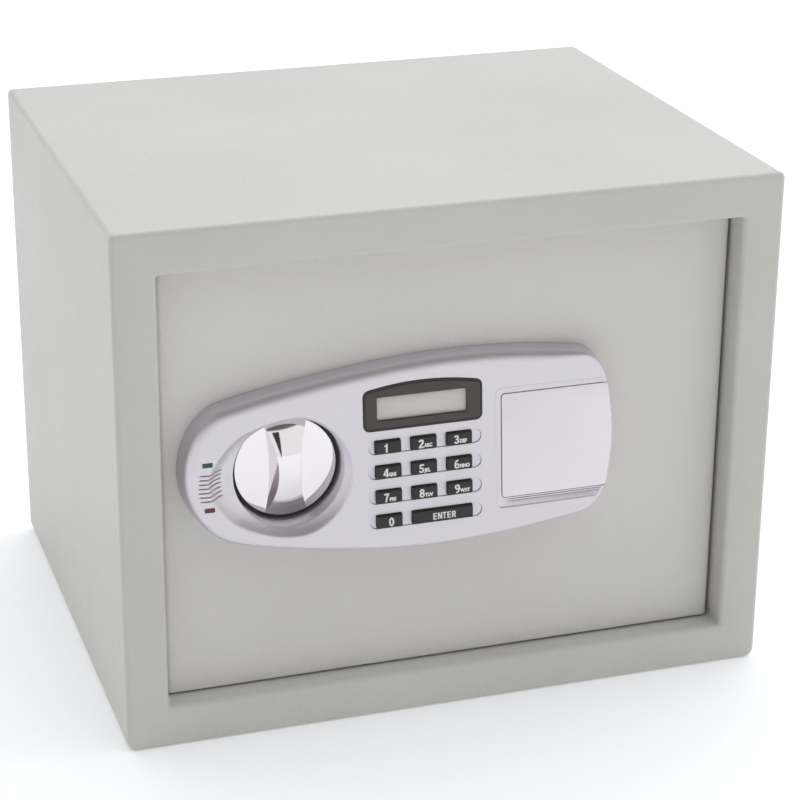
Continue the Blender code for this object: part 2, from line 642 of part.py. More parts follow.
def bezel_outline(grow):
    """Display surround: a rounded rectangle whose top edge is arched."""
    half_w, radius = 0.0338 + grow, 0.0032 + grow
    bottom, shoulder, crest = BEZEL_BOTTOM - grow, 0.0382 + grow, 0.0414 + grow
    rise, half_top = crest - shoulder, half_w - 0.002
    arch_r = (half_top**2 + rise**2) / (2 * rise)
    turn = math.degrees(math.asin(half_top / arch_r))
    left, right = BEZEL_X - half_w, BEZEL_X + half_w
    outline = arc((left + radius, bottom + radius), radius, 180, 270, 4)
    outline += arc((right - radius, bottom + radius), radius, 270, 360, 4)
    outline += [(right, shoulder - 0.003), (right - 0.0006, shoulder - 0.0011)]
    outline += arc((BEZEL_X, crest - arch_r), arch_r, 90 - turn, 90 + turn, 10)
    outline += [(left + 0.0006, shoulder - 0.0011), (left, shoulder - 0.003)]
    return outline


def panel_fittings(axis, face):
    on_face = dict(parent=face, on_face=True)
    half_u, half_v = LCD_HALF
    surround = prism("display_surround", bezel_outline(0), -0.0005, 0.0012, "gloss_black", **on_face)
    low, high = (LCD_X - half_u, -0.005, LCD_Z - half_v), (LCD_X + half_u, 0.005, LCD_Z + half_v)
    cut(surround, box("surround_opening", low, high, **on_face))
    box("display_window", (low[0] + GAP, -0.0002, low[2] + GAP), (high[0] - GAP, 0.0006, high[2] - GAP), "clear", **on_face)
    box("display_module", (low[0] - 0.0006, 0.0016, low[2] - 0.0006), (high[0] + 0.0006, 0.0060, high[2] + 0.0006), "display", **on_face)
    box("keypad_board", (-0.054, 0.0064, -0.043), (0.014, 0.0080, 0.038), "board", **on_face)
    cylinder("buzzer", 0.0048, front(-0.1432, 0.0070, 0.154), front(-0.1432, 0.0126, 0.154), "dark_plastic", axis)

    for name, (u, v), half in keys():
        rings = []
        for depth, grow in ((0, -0.0006), (0.0006, 0), (0.0059, 0), (0.0059, 0.0009), (0.0069, 0.0009)):
            x, z = half[0] + grow, half[1] + grow
            rings.append([(sx * x, depth - KEY_RISE, sz * z) for sx, sz in ((-1, -1), (1, -1), (1, 1), (-1, 1))])
        key = loft(name, rings, "key_black", **on_face)
        key.location = (u, 0, v)


def battery_bay(axis, face):
    """Battery box with four cells side by side, under a flush cover that slides off to the right."""
    on_face = dict(parent=face, on_face=True)
    middle = (BAY_TOP + BAY_BOTTOM) / 2
    half_v = 2 * CELL_PITCH + 0.0015
    left, right, back = 0.0242, 0.0799, 0.0190
    case = box("battery_box", (left, 0.0038, middle - half_v), (right, back, middle + half_v), "dark_plastic", **on_face)
    low = (left + 0.0012, -0.005, middle - half_v + 0.0012)
    high = (right - 0.0012, back - 0.0012, middle + half_v - 0.0012)
    cut(case, box("battery_hollow", low, high, **on_face))
    cell_left = low[0] + 0.0014
    for number in range(4):
        v = middle + (1.5 - number) * CELL_PITCH
        nub, length = 0.0010, CELL_LENGTH
        profile = [(0, length), (0.0027, length), (0.0027, length - nub), (CELL_R, length - nub), (CELL_R, 0), (0, 0)]
        flip = number % 2
        start_at = Vector((cell_left + (length if flip else 0), 0.0102, v))
        cell = turned(f"battery_{number + 1}", profile, start_at, (-1 if flip else 1, 0, 0), "cell_wrap", steps=20)
        cell.parent = face
    for name, at in (("left", low[0] + GAP), ("right", high[0] - GAP - 0.0008)):
        low_corner = (at, 0.0050, low[2] + GAP)
        box("battery_contact_" + name, low_corner, (at + 0.0008, high[1] - GAP, high[2] - GAP), "bolt_steel", **on_face)

    cover = panel_body("battery_cover", "panel_silver", axis)
    edge = GAP
    keep = box("cover_keep", (BAY_LEFT + edge, -0.005, BAY_BOTTOM + edge), (0.100, 0.030, BAY_TOP - edge), **on_face)
    cut(cover, keep, "INTERSECT")
    plate, end_left = 0.0020, 0.0868
    cut(cover, box("cover_under", (0.015, plate, -0.060), (end_left, 0.040, 0.060), **on_face))
    low_v, high_v = BAY_BOTTOM + 0.00145 + edge, BAY_TOP - 0.00145 - edge
    cut(cover, box("cover_under_low", (0.015, plate, -0.060), (0.110, 0.040, low_v), **on_face))
    cut(cover, box("cover_under_high", (0.015, plate, high_v), (0.110, 0.040, 0.060), **on_face))


def build():
    start()
    door_axis = empty("door_axis", front(HINGE_X, HINGE_DEPTH, BODY_H / 2))
    knob_axis = empty("knob_axis", front(KNOB_X, 0, KNOB_Z), door_axis)
    face = empty("panel_face", front(0, FACE_DEPTH, FACE_Z), door_axis, -TILT)
    cabinet()
    door(door_axis)
    inner_door_cover(door_axis)
    bolt_work(door_axis)
    knob(knob_axis)
    panel_housing(door_axis, face)
    panel_fittings(door_axis, face)
    battery_bay(door_axis, face)


build()
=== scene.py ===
"""Looks of the in room safe: fine surfaces, paint, plastic and chrome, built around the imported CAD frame.

Metres, +Z up, and the front faces -Y. "Depth" is measured backwards from the cabinet's front plane.
The control panel's face leans back, and what sits on it is placed by (across, up) on that face, with
"in" measured into it.
"""

import json
import math

import bmesh
import bpy
import numpy as np
from mathutils import Matrix, Vector
from mathutils.geometry import delaunay_2d_cdt, interpolate_bezier


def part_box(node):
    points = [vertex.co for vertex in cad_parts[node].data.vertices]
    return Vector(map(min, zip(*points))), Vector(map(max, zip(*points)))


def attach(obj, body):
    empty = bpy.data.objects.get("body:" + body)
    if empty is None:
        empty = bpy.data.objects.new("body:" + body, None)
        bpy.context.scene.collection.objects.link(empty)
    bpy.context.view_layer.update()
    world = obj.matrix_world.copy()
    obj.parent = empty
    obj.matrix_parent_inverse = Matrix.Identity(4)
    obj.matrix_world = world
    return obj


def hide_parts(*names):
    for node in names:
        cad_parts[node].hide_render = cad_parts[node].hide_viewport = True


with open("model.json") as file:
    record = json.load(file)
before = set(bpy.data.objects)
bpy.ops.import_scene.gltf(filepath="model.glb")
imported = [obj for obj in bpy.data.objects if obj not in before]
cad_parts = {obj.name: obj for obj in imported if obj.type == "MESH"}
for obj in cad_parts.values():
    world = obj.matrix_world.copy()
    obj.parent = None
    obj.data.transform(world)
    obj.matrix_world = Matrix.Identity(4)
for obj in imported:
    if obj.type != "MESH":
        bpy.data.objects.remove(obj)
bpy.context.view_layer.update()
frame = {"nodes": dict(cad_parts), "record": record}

# Cabinet and door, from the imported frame
SHELL_LOW, SHELL_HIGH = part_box("cabinet_shell")
DOOR_LOW, DOOR_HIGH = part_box("door_panel")
FRONT = SHELL_LOW.y
WIDTH, HEIGHT = SHELL_HIGH.x - SHELL_LOW.x, SHELL_HIGH.z
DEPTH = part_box("back_panel")[1].y - FRONT
SHEET = 0.002
FRAME_W = 0.024
JAMB_D = 0.025
FOLD_R = 0.003
INNER_FOLD_R = 0.0028
CORNER_R_TOP, CORNER_R_BOTTOM = 0.0032, 0.0052
DOOR_FOLD_R, DOOR_INNER_R = 0.0040, 0.0015
DOOR_SHEET = 0.003
HINGE = Vector((0.1575, FRONT + 0.020, 0))
HINGE_HOLE_R, HINGE_HOLE_ENDS = 0.0032, ((0.010, 0.030), (0.270, 0.290))
ANCHOR_R, ANCHOR_X = 0.006, 0.100
SPINDLE_HOLE_R = 0.006
COVER_SCREW_X, COVER_SCREW_Z = (-0.120, 0.134), (0.050, 0.250)
BOLT_HOLE_Z, BOLT_HOLE_R = (0.217, 0.107), 0.0087
RIB_INSET = 0.020

# Control panel
TILT = math.radians(5)
FACE_DEPTH, FACE_Z = -0.002, 0.160
PANEL_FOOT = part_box("panel_housing")[1].y - FRONT
OVAL_Z = 0.1595
DRAFT = 0.001
TOP_EDGE_R, LOW_EDGE_R, LEFT_EDGE_R, RIGHT_EDGE_R = 0.006, 0.003, 0.0055, 0.0018
WALL = 0.0030
DISH_LIP = 0.0009
DISH_DEEP, DISH_REACH = 0.0052, 0.0090
WELL_R, WELL_DEPTH = 0.0310, 0.0126
KNOB_X, KNOB_Z = -0.0958, 0.1566
KNOB_R = 0.0286
KNOB_FACE = 0.0095
KNOB_TOP = 0.0006
DOME_R = 0.0499
KEY_W, KEY_H, KEY_RISE = 0.0145, 0.0076, 0.0020
KEY_LEFT, KEY_TOP = -0.0408, 0.0060
KEY_PITCH_X, KEY_PITCH_Z = 0.0205, 0.0143
PILL_X, PILL_HALF = -0.0194, (0.0327, 0.0042)
BAY_LEFT, BAY_TOP, BAY_BOTTOM = 0.0251, 0.02805, -0.03265
LCD_X, LCD_Z = -0.0209, 0.0277
LCD_HALF = (0.0258, 0.0065)
LENS_HALF = (0.0029, 0.00135)
BEZEL_X, BEZEL_BOTTOM = -0.0203, 0.0157
FACE = Matrix.Translation((0, FRONT + FACE_DEPTH, FACE_Z)) @ Matrix.Rotation(-TILT, 4, "X")


def linear(red, green, blue):
    """A display colour of 0 to 255 as the linear colour that a shader takes."""
    shares = (red / 255, green / 255, blue / 255)
    return tuple(((c + 0.055) / 1.055) ** 2.4 if c > 10 / 255 else c / 12.92 for c in shares)


def new_node(tree, kind, inputs, **settings):
    """Adds a shader node. Each input is a value or the socket that feeds it."""
    made = tree.nodes.new(kind)
    for setting, value in settings.items():
        setattr(made, setting, value)
    for key, value in inputs.items():
        if isinstance(value, bpy.types.NodeSocket):
            tree.links.new(value, made.inputs[key])
        else:
            made.inputs[key].default_value = value
    return made


class Look:
    """A procedural material on a Principled shader, patterned in the object's own coordinates.

    Patterns are (noise scale, detail, stretch): tint is (pattern, other colour, amount), rough is
    (pattern, low, high) and bumps are (pattern, distance, strength).
    """

    def __init__(self, name, colour, roughness, metallic=0.0, tint=None, rough=None, bumps=(), **sockets):
        self.material = bpy.data.materials.new(name)
        self.material.use_nodes = True
        self.tree = self.material.node_tree
        self.shader = self.tree.nodes["Principled BSDF"]
        self.colour = (*linear(*colour), 1)
        values = {"Base Color": self.colour, "Roughness": roughness, "Metallic": metallic, **sockets}
        for socket, value in values.items():
            self.shader.inputs[socket.replace("_", " ")].default_value = value
        self.place = self.tree.nodes.new("ShaderNodeTexCoord").outputs["Object"]
        if tint:
            self.tint(*tint)
        if rough:
            pattern, low, high = rough
            self.feed(self.spread(self.noise(*pattern), low, high), "Roughness")
        self.normal = None
        for bump in bumps:
            self.bump(*bump)

    def node(self, kind, inputs, **settings):
        return new_node(self.tree, kind, inputs, **settings)

    def feed(self, value, socket):
        self.tree.links.new(value, self.shader.inputs[socket])

    def noise(self, scale, detail, stretch=(1, 1, 1)):
        place = self.node("ShaderNodeVectorMath", {0: self.place, 1: stretch}, operation="MULTIPLY").outputs[0]
        inputs = {"Vector": place, "Scale": scale, "Detail": detail}
        return self.node("ShaderNodeTexNoise", inputs).outputs["Fac"]

    def spread(self, value, low, high):
        """Maps a noise's usual range to low..high."""
        inputs = {"Value": value, "From Min": 0.3, "From Max": 0.7, "To Min": low, "To Max": high}
        return self.node("ShaderNodeMapRange", inputs).outputs["Result"]

    def bump(self, pattern, distance, strength):
        inputs = {"Height": self.noise(*pattern), "Distance": distance, "Strength": strength}
        if self.normal:
            inputs["Normal"] = self.normal
        self.normal = self.node("ShaderNodeBump", inputs).outputs["Normal"]
        self.feed(self.normal, "Normal")

    def tint(self, pattern, other, amount):
        """Shifts the colour towards another where the pattern is high."""
        share = self.spread(self.noise(*pattern), 0.0, amount)
        inputs = {"Factor": share, 6: self.colour, 7: (*linear(*other), 1)}
        self.feed(self.node("ShaderNodeMix", inputs, data_type="RGBA").outputs[2], "Base Color")


def powder_coat(colour, dark, peel):
    """Satin paint with orange peel."""
    bumps = [((620, 1.5), 0.00040, peel), ((160, 1), 0.0004, 0.25)]
    look = {"colour": colour, "roughness": 0.42, "tint": ((9, 3), dark, 0.7), "rough": ((420, 2), 0.36, 0.50)}
    return {**look, "bumps": bumps, "Specular_IOR_Level": 0.5}


def silver(colour, dark):
    """Metallic paint on a moulding."""
    look = {"colour": colour, "roughness": 0.50, "metallic": 0.88, "tint": ((2600, 1), dark, 0.4)}
    return {**look, "rough": ((1500, 2), 0.46, 0.54), "bumps": [((1800, 2), 0.00002, 0.2)]}


def lens(colour, dark):
    return {"colour": colour, "roughness": 0.2, "tint": ((700, 2), dark, 0.9), "rough": ((900, 1), 0.16, 0.26)}


def plain(colour, roughness, metallic=0.0, **patterns):
    return {"colour": colour, "roughness": roughness, "metallic": metallic, **patterns}


LOOK_OF = {
    "body_paint": powder_coat((205, 204, 199), (198, 196, 190), 0.65),
    "door_paint": powder_coat((217, 215, 211), (213, 211, 207), 0.6),
    "panel_silver": silver((215, 211, 216), (206, 202, 208)),
    "cover_silver": silver((226, 220, 226), (219, 213, 219)),
    "green_lens": lens((30, 84, 46), (18, 56, 30)),
    "red_lens": lens((110, 44, 40), (80, 30, 30)),
    "chrome": plain((229, 225, 226), 0.05, 1.0, rough=((60, 4), 0.035, 0.075), bumps=[((35, 2), 0.0002, 0.05)]),
    "key_black": plain((34, 31, 30), 0.42, rough=((900, 2), 0.34, 0.50), bumps=[((1500, 2), 0.00004, 0.4)]),
    "legend_white": plain((236, 234, 232), 0.55, tint=((1200, 2), (214, 212, 210), 0.8)),
    "gloss_black": plain((62, 55, 52), 0.16, rough=((500, 3), 0.11, 0.22), bumps=[((90, 1), 0.0001, 0.08)]),
    "display": plain(
        (216, 211, 203),
        0.38,
        tint=((14, 1), (209, 204, 195), 0.6),
        bumps=[((3000, 1), 0.00002, 0.2)],
    ),
    "clear": plain((235, 238, 235), 0.06, rough=((300, 2), 0.04, 0.09), Alpha=0.12),
    "board": plain((22, 96, 52), 0.35, tint=((260, 3), (16, 72, 40), 1.0), bumps=[((500, 2), 0.00005, 0.4)]),
    "dark_plastic": plain((44, 44, 45), 0.5, rough=((800, 2), 0.42, 0.60), bumps=[((1300, 2), 0.00008, 0.6)]),
    "zinc_steel": plain(
        (186, 186, 182),
        0.34,
        0.9,
        tint=((120, 3), (164, 166, 166), 0.9),
        rough=((260, 3, (1, 1, 12)), 0.26, 0.44),
        bumps=[((500, 2, (1, 1, 8)), 0.00003, 0.4)],
    ),
    "bolt_steel": plain(
        (214, 214, 214),
        0.16,
        1.0,
        rough=((400, 3, (6, 1, 1)), 0.12, 0.24),
        bumps=[((700, 2, (8, 1, 1)), 0.00002, 0.3)],
    ),
    "brass": plain(
        (204, 170, 96), 0.28, 1.0,
        tint=((90, 2), (176, 140, 76), 0.8),
        rough=((500, 2), 0.22, 0.36),
    ),
    "cell_wrap": plain(
        (52, 88, 150), 0.3, 0.2,
        tint=((40, 2), (44, 76, 134), 0.8),
        rough=((300, 2), 0.24, 0.36),
    ),
    "felt": plain(
        (70, 70, 74),
        0.95,
        tint=((900, 4), (38, 38, 42), 1.0),
        bumps=[((1400, 4), 0.0006, 0.8)],
        Sheen_Weight=0.4,
    ),
    "red_plastic": plain((176, 40, 34), 0.36, rough=((700, 2), 0.30, 0.44)),
}
LOOKS = {name: Look(name, **look) for name, look in LOOK_OF.items()}
SLOTS = {entry["node"]: entry["material_slot"] for entry in frame["record"]["subparts"]}
BODY_OF = {node: body for body, nodes in frame["record"]["behaviour"]["bodies"].items() for node in nodes}


# ---- Mesh helpers


def linked(name, bm):
    """Makes an object of a bmesh, which it frees."""
    mesh = bpy.data.meshes.new(name)
    bm.to_mesh(mesh)
    bm.free()
    obj = bpy.data.objects.new(name, mesh)
    bpy.context.scene.collection.objects.link(obj)
    return obj


def finished(name, bm, look, body, nodes=(), sharp_deg=32):
    """Makes an object of a bmesh in the row frame, and has it ride on a body and stand for CAD nodes."""
    bmesh.ops.recalc_face_normals(bm, faces=bm.faces)
    obj = linked(name, bm)
    obj.data.shade_smooth()
    obj.data.set_sharp_from_angle(angle=math.radians(sharp_deg))
    obj.data.materials.append(LOOKS[look].material)
    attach(obj, body)
    if nodes:
        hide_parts(*nodes)


def front(x, depth, z):
    return Vector((x, FRONT + depth, z))


def face_depth(z):
    return FACE_DEPTH + math.tan(TILT) * (z - FACE_Z)


def on_face(bm):
    """Moves a bmesh made as (across, in, up) on the panel's face to its place."""
    bm.transform(FACE)
    return bm


def column(outline, start_at, end_at):
    """What an outline of (across, up) on the panel's face sweeps between two distances in."""
    return on_face(lofted([[(x, d, z) for x, z in outline] for d in (start_at, end_at)]))


def arc(centre, radius, start_deg, end_deg, steps=14):
    """Points along part of a circle, or of an ellipse if radius is a pair."""
    across, up = radius if isinstance(radius, (tuple, list)) else (radius, radius)
    angles = [math.radians(start_deg + (end_deg - start_deg) * i / steps) for i in range(steps + 1)]
    return [(centre[0] + across * math.cos(a), centre[1] + up * math.sin(a)) for a in angles]


def rounded_rect(left, right, bottom, top, radii, steps=6):
    """Counter-clockwise outline. radii: lower left, lower right, upper right, upper left, or one for all."""
    if not isinstance(radii, tuple):
        radii = (radii,) * 4
    corners = ((left, bottom, 1, 1), (right, bottom, -1, 1), (right, top, -1, -1), (left, top, 1, -1))
    outline = []
    for (x, y, across, up), radius, start_deg in zip(corners, radii, (180, 270, 0, 90)):
        radius = max(radius, 1e-5)
        outline += arc((x + across * radius, y + up * radius), radius, start_deg, start_deg + 90, steps)
    return outline


def rect_about(x, y, half_w, half_h, radii, steps=6):
    return rounded_rect(x - half_w, x + half_w, y - half_h, y + half_h, radii, steps)


def rect_within(low, high, gap, radii, steps=6):
    """A rectangle this far inside the front view of a box."""
    return rounded_rect(low.x + gap, high.x - gap, low.z + gap, high.z - gap, radii, steps)


def join_rows(bm, rows):
    """Quads between each row of vertices and the next, all the way round."""
    count = len(rows[0])
    for row, following in zip(rows, rows[1:]):
        for i in range(count):
            j = (i + 1) % count
            bm.faces.new((row[i], row[j], following[j], following[i]))


def add_loft(bm, rings, looped=False, start_cap=True, end_cap=True):
    """Joins rings of equal length by quads. looped also joins the last ring to the first."""
    rows = [[bm.verts.new(point) for point in ring] for ring in rings]
    join_rows(bm, rows + rows[:1] if looped else rows)
    if start_cap and not looped:
        bm.faces.new(rows[0])
    if end_cap and not looped:
        bm.faces.new(rows[-1])
    return rows


def lofted(rings, looped=False):
    bm = bmesh.new()
    add_loft(bm, rings, looped)
    return bm


def turned(profile, centre, axis, steps=48, looped=False):
    """Turns (radius, height) points about an axis through centre. Ends on the axis are closed."""
    rings = []
    for radius, height in profile:
        radius = max(radius, 1e-5)
        turns = [2 * math.pi * i / steps for i in range(steps)]
        rings.append([(radius * math.cos(a), radius * math.sin(a), height) for a in turns])
    bm = lofted(rings, looped)
    place = Matrix.Translation(centre) @ Vector(axis).to_track_quat("Z", "Y").to_matrix().to_4x4()
    bm.transform(place)
    return bm


def rounded_profile(points, radius, steps=3):
    """Rounds each inner corner of an open profile of 2D points."""
    rounded = [points[0]]
    for before, corner, after in zip(points, points[1:], points[2:]):
        corner = Vector(corner)
        into, out = Vector(before) - corner, Vector(after) - corner
        reach = min(radius, into.length / 2.01, out.length / 2.01)
        a, b = corner + into.normalized() * reach, corner + out.normalized() * reach
        for i in range(steps + 1):
            t = i / steps
            rounded.append(tuple(a * (1 - t) ** 2 + corner * 2 * t * (1 - t) + b * t**2))
    return rounded + [points[-1]]


def slab(outline, low, high, edge=0.0005, steps=3, both=True):
    """A plate between two distances in, its outline of (across, up) and its front edge rounded."""
    turns = [math.pi / 2 * i / steps for i in range(steps + 1)]
    rounding = [(edge * (1 - math.sin(turn)), edge * (1 - math.cos(turn))) for turn in turns]
    sides = [(shrink, low + into) for shrink, into in rounding]
    if both:
        sides += [(shrink, high - into) for shrink, into in reversed(rounding)]
    rings = [[(x, depth, z) for x, z in inset(outline, shrink)] for shrink, depth in sides]
    if not both:
        rings.append([(x, high, z) for x, z in outline])
    return lofted(rings)


def inset(outline, distance):
    """Moves each point of a closed outline inwards. distance may be a function of the point."""
    area = sum(a[0] * b[1] - a[1] * b[0] for a, b in zip(outline, outline[1:] + outline[:1]))
    side = 1 if area > 0 else -1
    moved = []
    for i, point in enumerate(outline):
        before, after = outline[i - 1], outline[(i + 1) % len(outline)]
        along = Vector((after[0] - before[0], after[1] - before[1])).normalized()
        reach = side * (distance(point) if callable(distance) else distance)
        moved.append((point[0] - along.y * reach, point[1] + along.x * reach))
    return moved


def evaluated_mesh(obj):
    graph = bpy.context.evaluated_depsgraph_get()
    return bpy.data.meshes.new_from_object(obj.evaluated_get(graph), depsgraph=graph)


def boolean(obj, tool_bm, operation="DIFFERENCE"):
    """Cuts or joins with a mesh and applies it."""
    tool = bare(tool_bm)
    modifier = obj.modifiers.new("cut", "BOOLEAN")
    modifier.operation = operation
    modifier.object = tool
    result = evaluated_mesh(obj)
    obj.modifiers.clear()
    old, obj.data = obj.data, result
    bpy.data.meshes.remove(old)
    taken(tool).free()


def bare(bm):
    """An object for Booleans, not yet a piece."""
    bmesh.ops.recalc_face_normals(bm, faces=bm.faces)
    return linked("bare", bm)


def taken(obj):
    """The bmesh of a bare object, which it removes."""
    bm = bmesh.new()
    bm.from_mesh(obj.data)
    mesh = obj.data
    bpy.data.objects.remove(obj)
    bpy.data.meshes.remove(mesh)
    return bm


def box_bm(low, high):
    low, high = Vector(low), Vector(high)
    bm = bmesh.new()
    place = Matrix.Translation((low + high) / 2) @ Matrix.Diagonal((*(high - low), 1))
    bmesh.ops.create_cube(bm, size=1, matrix=place)
    return bm


def bevel_edges(bm, width, segments=2, over_deg=40):
    edges = [e for e in bm.edges if len(e.link_faces) == 2 and e.calc_face_angle() > math.radians(over_deg)]
    shape = {"segments": segments, "affect": "EDGES", "profile": 0.5, "clamp_overlap": True}
    bmesh.ops.bevel(bm, geom=edges, offset=width, **shape)
    return bm


def cylinder_bm(radius, start_at, end_at, steps=32):
    start_at, end_at = Vector(start_at), Vector(end_at)
    along = end_at - start_at
    profile = [(0, 0), (radius, 0), (radius, along.length), (0, along.length)]
    return turned(profile, start_at, along, steps)


def merged(node):
    """The CAD node's shape with its triangles merged into flat faces."""
    bm = bmesh.new()
    bm.from_mesh(frame["nodes"][node].data)
    bmesh.ops.remove_doubles(bm, verts=bm.verts, dist=1e-6)
    bmesh.ops.dissolve_limit(bm, angle_limit=math.radians(0.5), verts=bm.verts, edges=bm.edges)
    return bm


def refined(width, *nodes):
    """Pieces with the shapes of CAD nodes, their edges rounded."""
    for node in nodes:
        finished(node + "_fine", bevel_edges(merged(node), width, 2, 35), SLOTS[node], BODY_OF[node], [node])


# ---- Cabinet


def cabinet_ring(depth, grow, opening=False, drop=0.0):
    """A ring of the shell: the outer outline moved out by grow, or the doorway's."""
    if opening:
        half, low, high = WIDTH / 2 - FRAME_W + grow, FRAME_W - grow, HEIGHT - FRAME_W + grow
        outline = rounded_rect(-half, half, low, high, 0.0016 + max(grow, 0))
    else:
        bottom, top = max(CORNER_R_BOTTOM + grow, 0.0004), max(CORNER_R_TOP + grow, 0.0004)
        half = WIDTH / 2 + grow
        outline = rounded_rect(-half, half, -grow, HEIGHT + grow - drop, (bottom, bottom, top, top))
    return [front(x, depth, z) for x, z in outline]


def cabinet():
    seam, steps = 0.00022, 6
    quarter = [math.pi / 2 * i / steps for i in range(steps + 1)]
    rings = [cabinet_ring(DEPTH, 0, drop=seam), cabinet_ring(0.0043, 0, drop=seam), cabinet_ring(0.0038, 0)]
    rings += [cabinet_ring(FOLD_R * (1 - math.sin(a)), -FOLD_R * (1 - math.cos(a))) for a in quarter]
    fold = [(INNER_FOLD_R * (1 - math.cos(a)), INNER_FOLD_R * (1 - math.sin(a))) for a in quarter]
    fold += [(JAMB_D, 0), (JAMB_D, SHEET), (0.0035, SHEET)]
    rings += [cabinet_ring(depth, grow, True) for depth, grow in fold]
    rings += [cabinet_ring(SHEET, 0.0035, True), cabinet_ring(SHEET, -0.0035)]
    rings += [cabinet_ring(0.0035, -SHEET), cabinet_ring(DEPTH, -SHEET)]
    shell = bare(lofted(rings, looped=True))
    for low, high in HINGE_HOLE_ENDS:
        boolean(shell, cylinder_bm(HINGE_HOLE_R, (HINGE.x, HINGE.y, low), (HINGE.x, HINGE.y, high), 24))
    for x in (-ANCHOR_X, ANCHOR_X):
        boolean(shell, cylinder_bm(ANCHOR_R, (x, 0, -0.01), (x, 0, 0.01)))
    finished("cabinet_body", taken(shell), "body_paint", "cabinet", ["cabinet_shell"], 40)

    for side in (-1, 1):
        corner_weld(side)
    plate = bevel_edges(merged("back_panel"), 0.0003)
    finished("back_plate", plate, "body_paint", "cabinet", ["back_panel"], 15)
    low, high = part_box("floor_mat")
    mat = rounded_rect(low.x, high.x, low.y, high.y, 0.012, 8)
    shares = ((0, 0), (0.6, 0), (0.9, 0.0006), (1, 0.0016))
    rings = [[(x, y, low.z + t * (high.z - low.z)) for x, y in inset(mat, d)] for t, d in shares]
    finished("felt_mat", lofted(rings), "felt", "cabinet", ["floor_mat"])
    refined(0.0003, "hinge_bush_upper", "hinge_bush_lower", "door_stop_upper", "door_stop_lower")
    refined(0.0002, "base_plug_left", "base_plug_right", "back_plug_left", "back_plug_right")


def corner_weld(side):
    """The painted weld in a lower inner corner of the doorway. The door swings over the right one."""
    flat = 0.48 if side > 0 else 1
    corner = Vector((side * (WIDTH / 2 - FRAME_W), 0, FRAME_W))
    rings = []
    steps = 14
    for i in range(steps + 1):
        depth = 0.0030 + 0.0102 * i / steps
        lump = 0.0019 + 0.0005 * math.sin(2.1 * i) + 0.0003 * math.sin(0.9 * i + 1)
        radius = lump * math.sqrt(max(0.06, math.sin(math.pi * (i + 0.4) / (steps + 0.8))))
        ring = [(corner.x + side * 0.0006, corner.z - 0.0006)]
        wide, tall = side * radius, flat * radius
        turns = np.linspace(-0.25, math.pi / 2 + 0.25, 8)
        ring += [(corner.x - wide * math.cos(a), corner.z + tall * math.sin(a)) for a in turns]
        rings.append([front(x, depth, z) for x, z in ring])
    name = "corner_weld_" + ("left" if side < 0 else "right")
    finished(name, lofted(rings), "body_paint", "cabinet", sharp_deg=60)


# ---- Door


def door():
    depth, back = DOOR_LOW.y - FRONT, DOOR_HIGH.y - FRONT
    left, right = DOOR_LOW.x, DOOR_HIGH.x
    section = rounded_profile([(left, back), (left, depth), (right, depth), (right, back)], DOOR_FOLD_R, 8)
    left, right, depth = left + DOOR_SHEET, right - DOOR_SHEET, depth + DOOR_SHEET
    section += rounded_profile([(right, back), (right, depth), (left, depth), (left, back)], DOOR_INNER_R, 8)
    rings = [[front(x, d, z) for x, d in section] for z in (DOOR_LOW.z, DOOR_HIGH.z)]
    panel = bare(lofted(rings))
    for x, z in ((KNOB_X, KNOB_Z), (-0.020, 0.130)):
        boolean(panel, cylinder_bm(SPINDLE_HOLE_R, front(x, 0.005, z), front(x, 0.024, z)))
    boolean(panel, box_bm(front(0.0237, 0.005, 0.122), front(0.0804, 0.030, 0.192)))
    finished("door_leaf", taken(panel), "door_paint", "door", ["door_panel"], 40)
    refined(0.0004, "door_pivot_upper", "door_pivot_lower", "lock_plate", "hinge_side_deadbar")
    refined(0.0004, "bolt_guide_upper", "bolt_guide_lower")
    refined(0.0008, "solenoid_body")
    inner_cover()


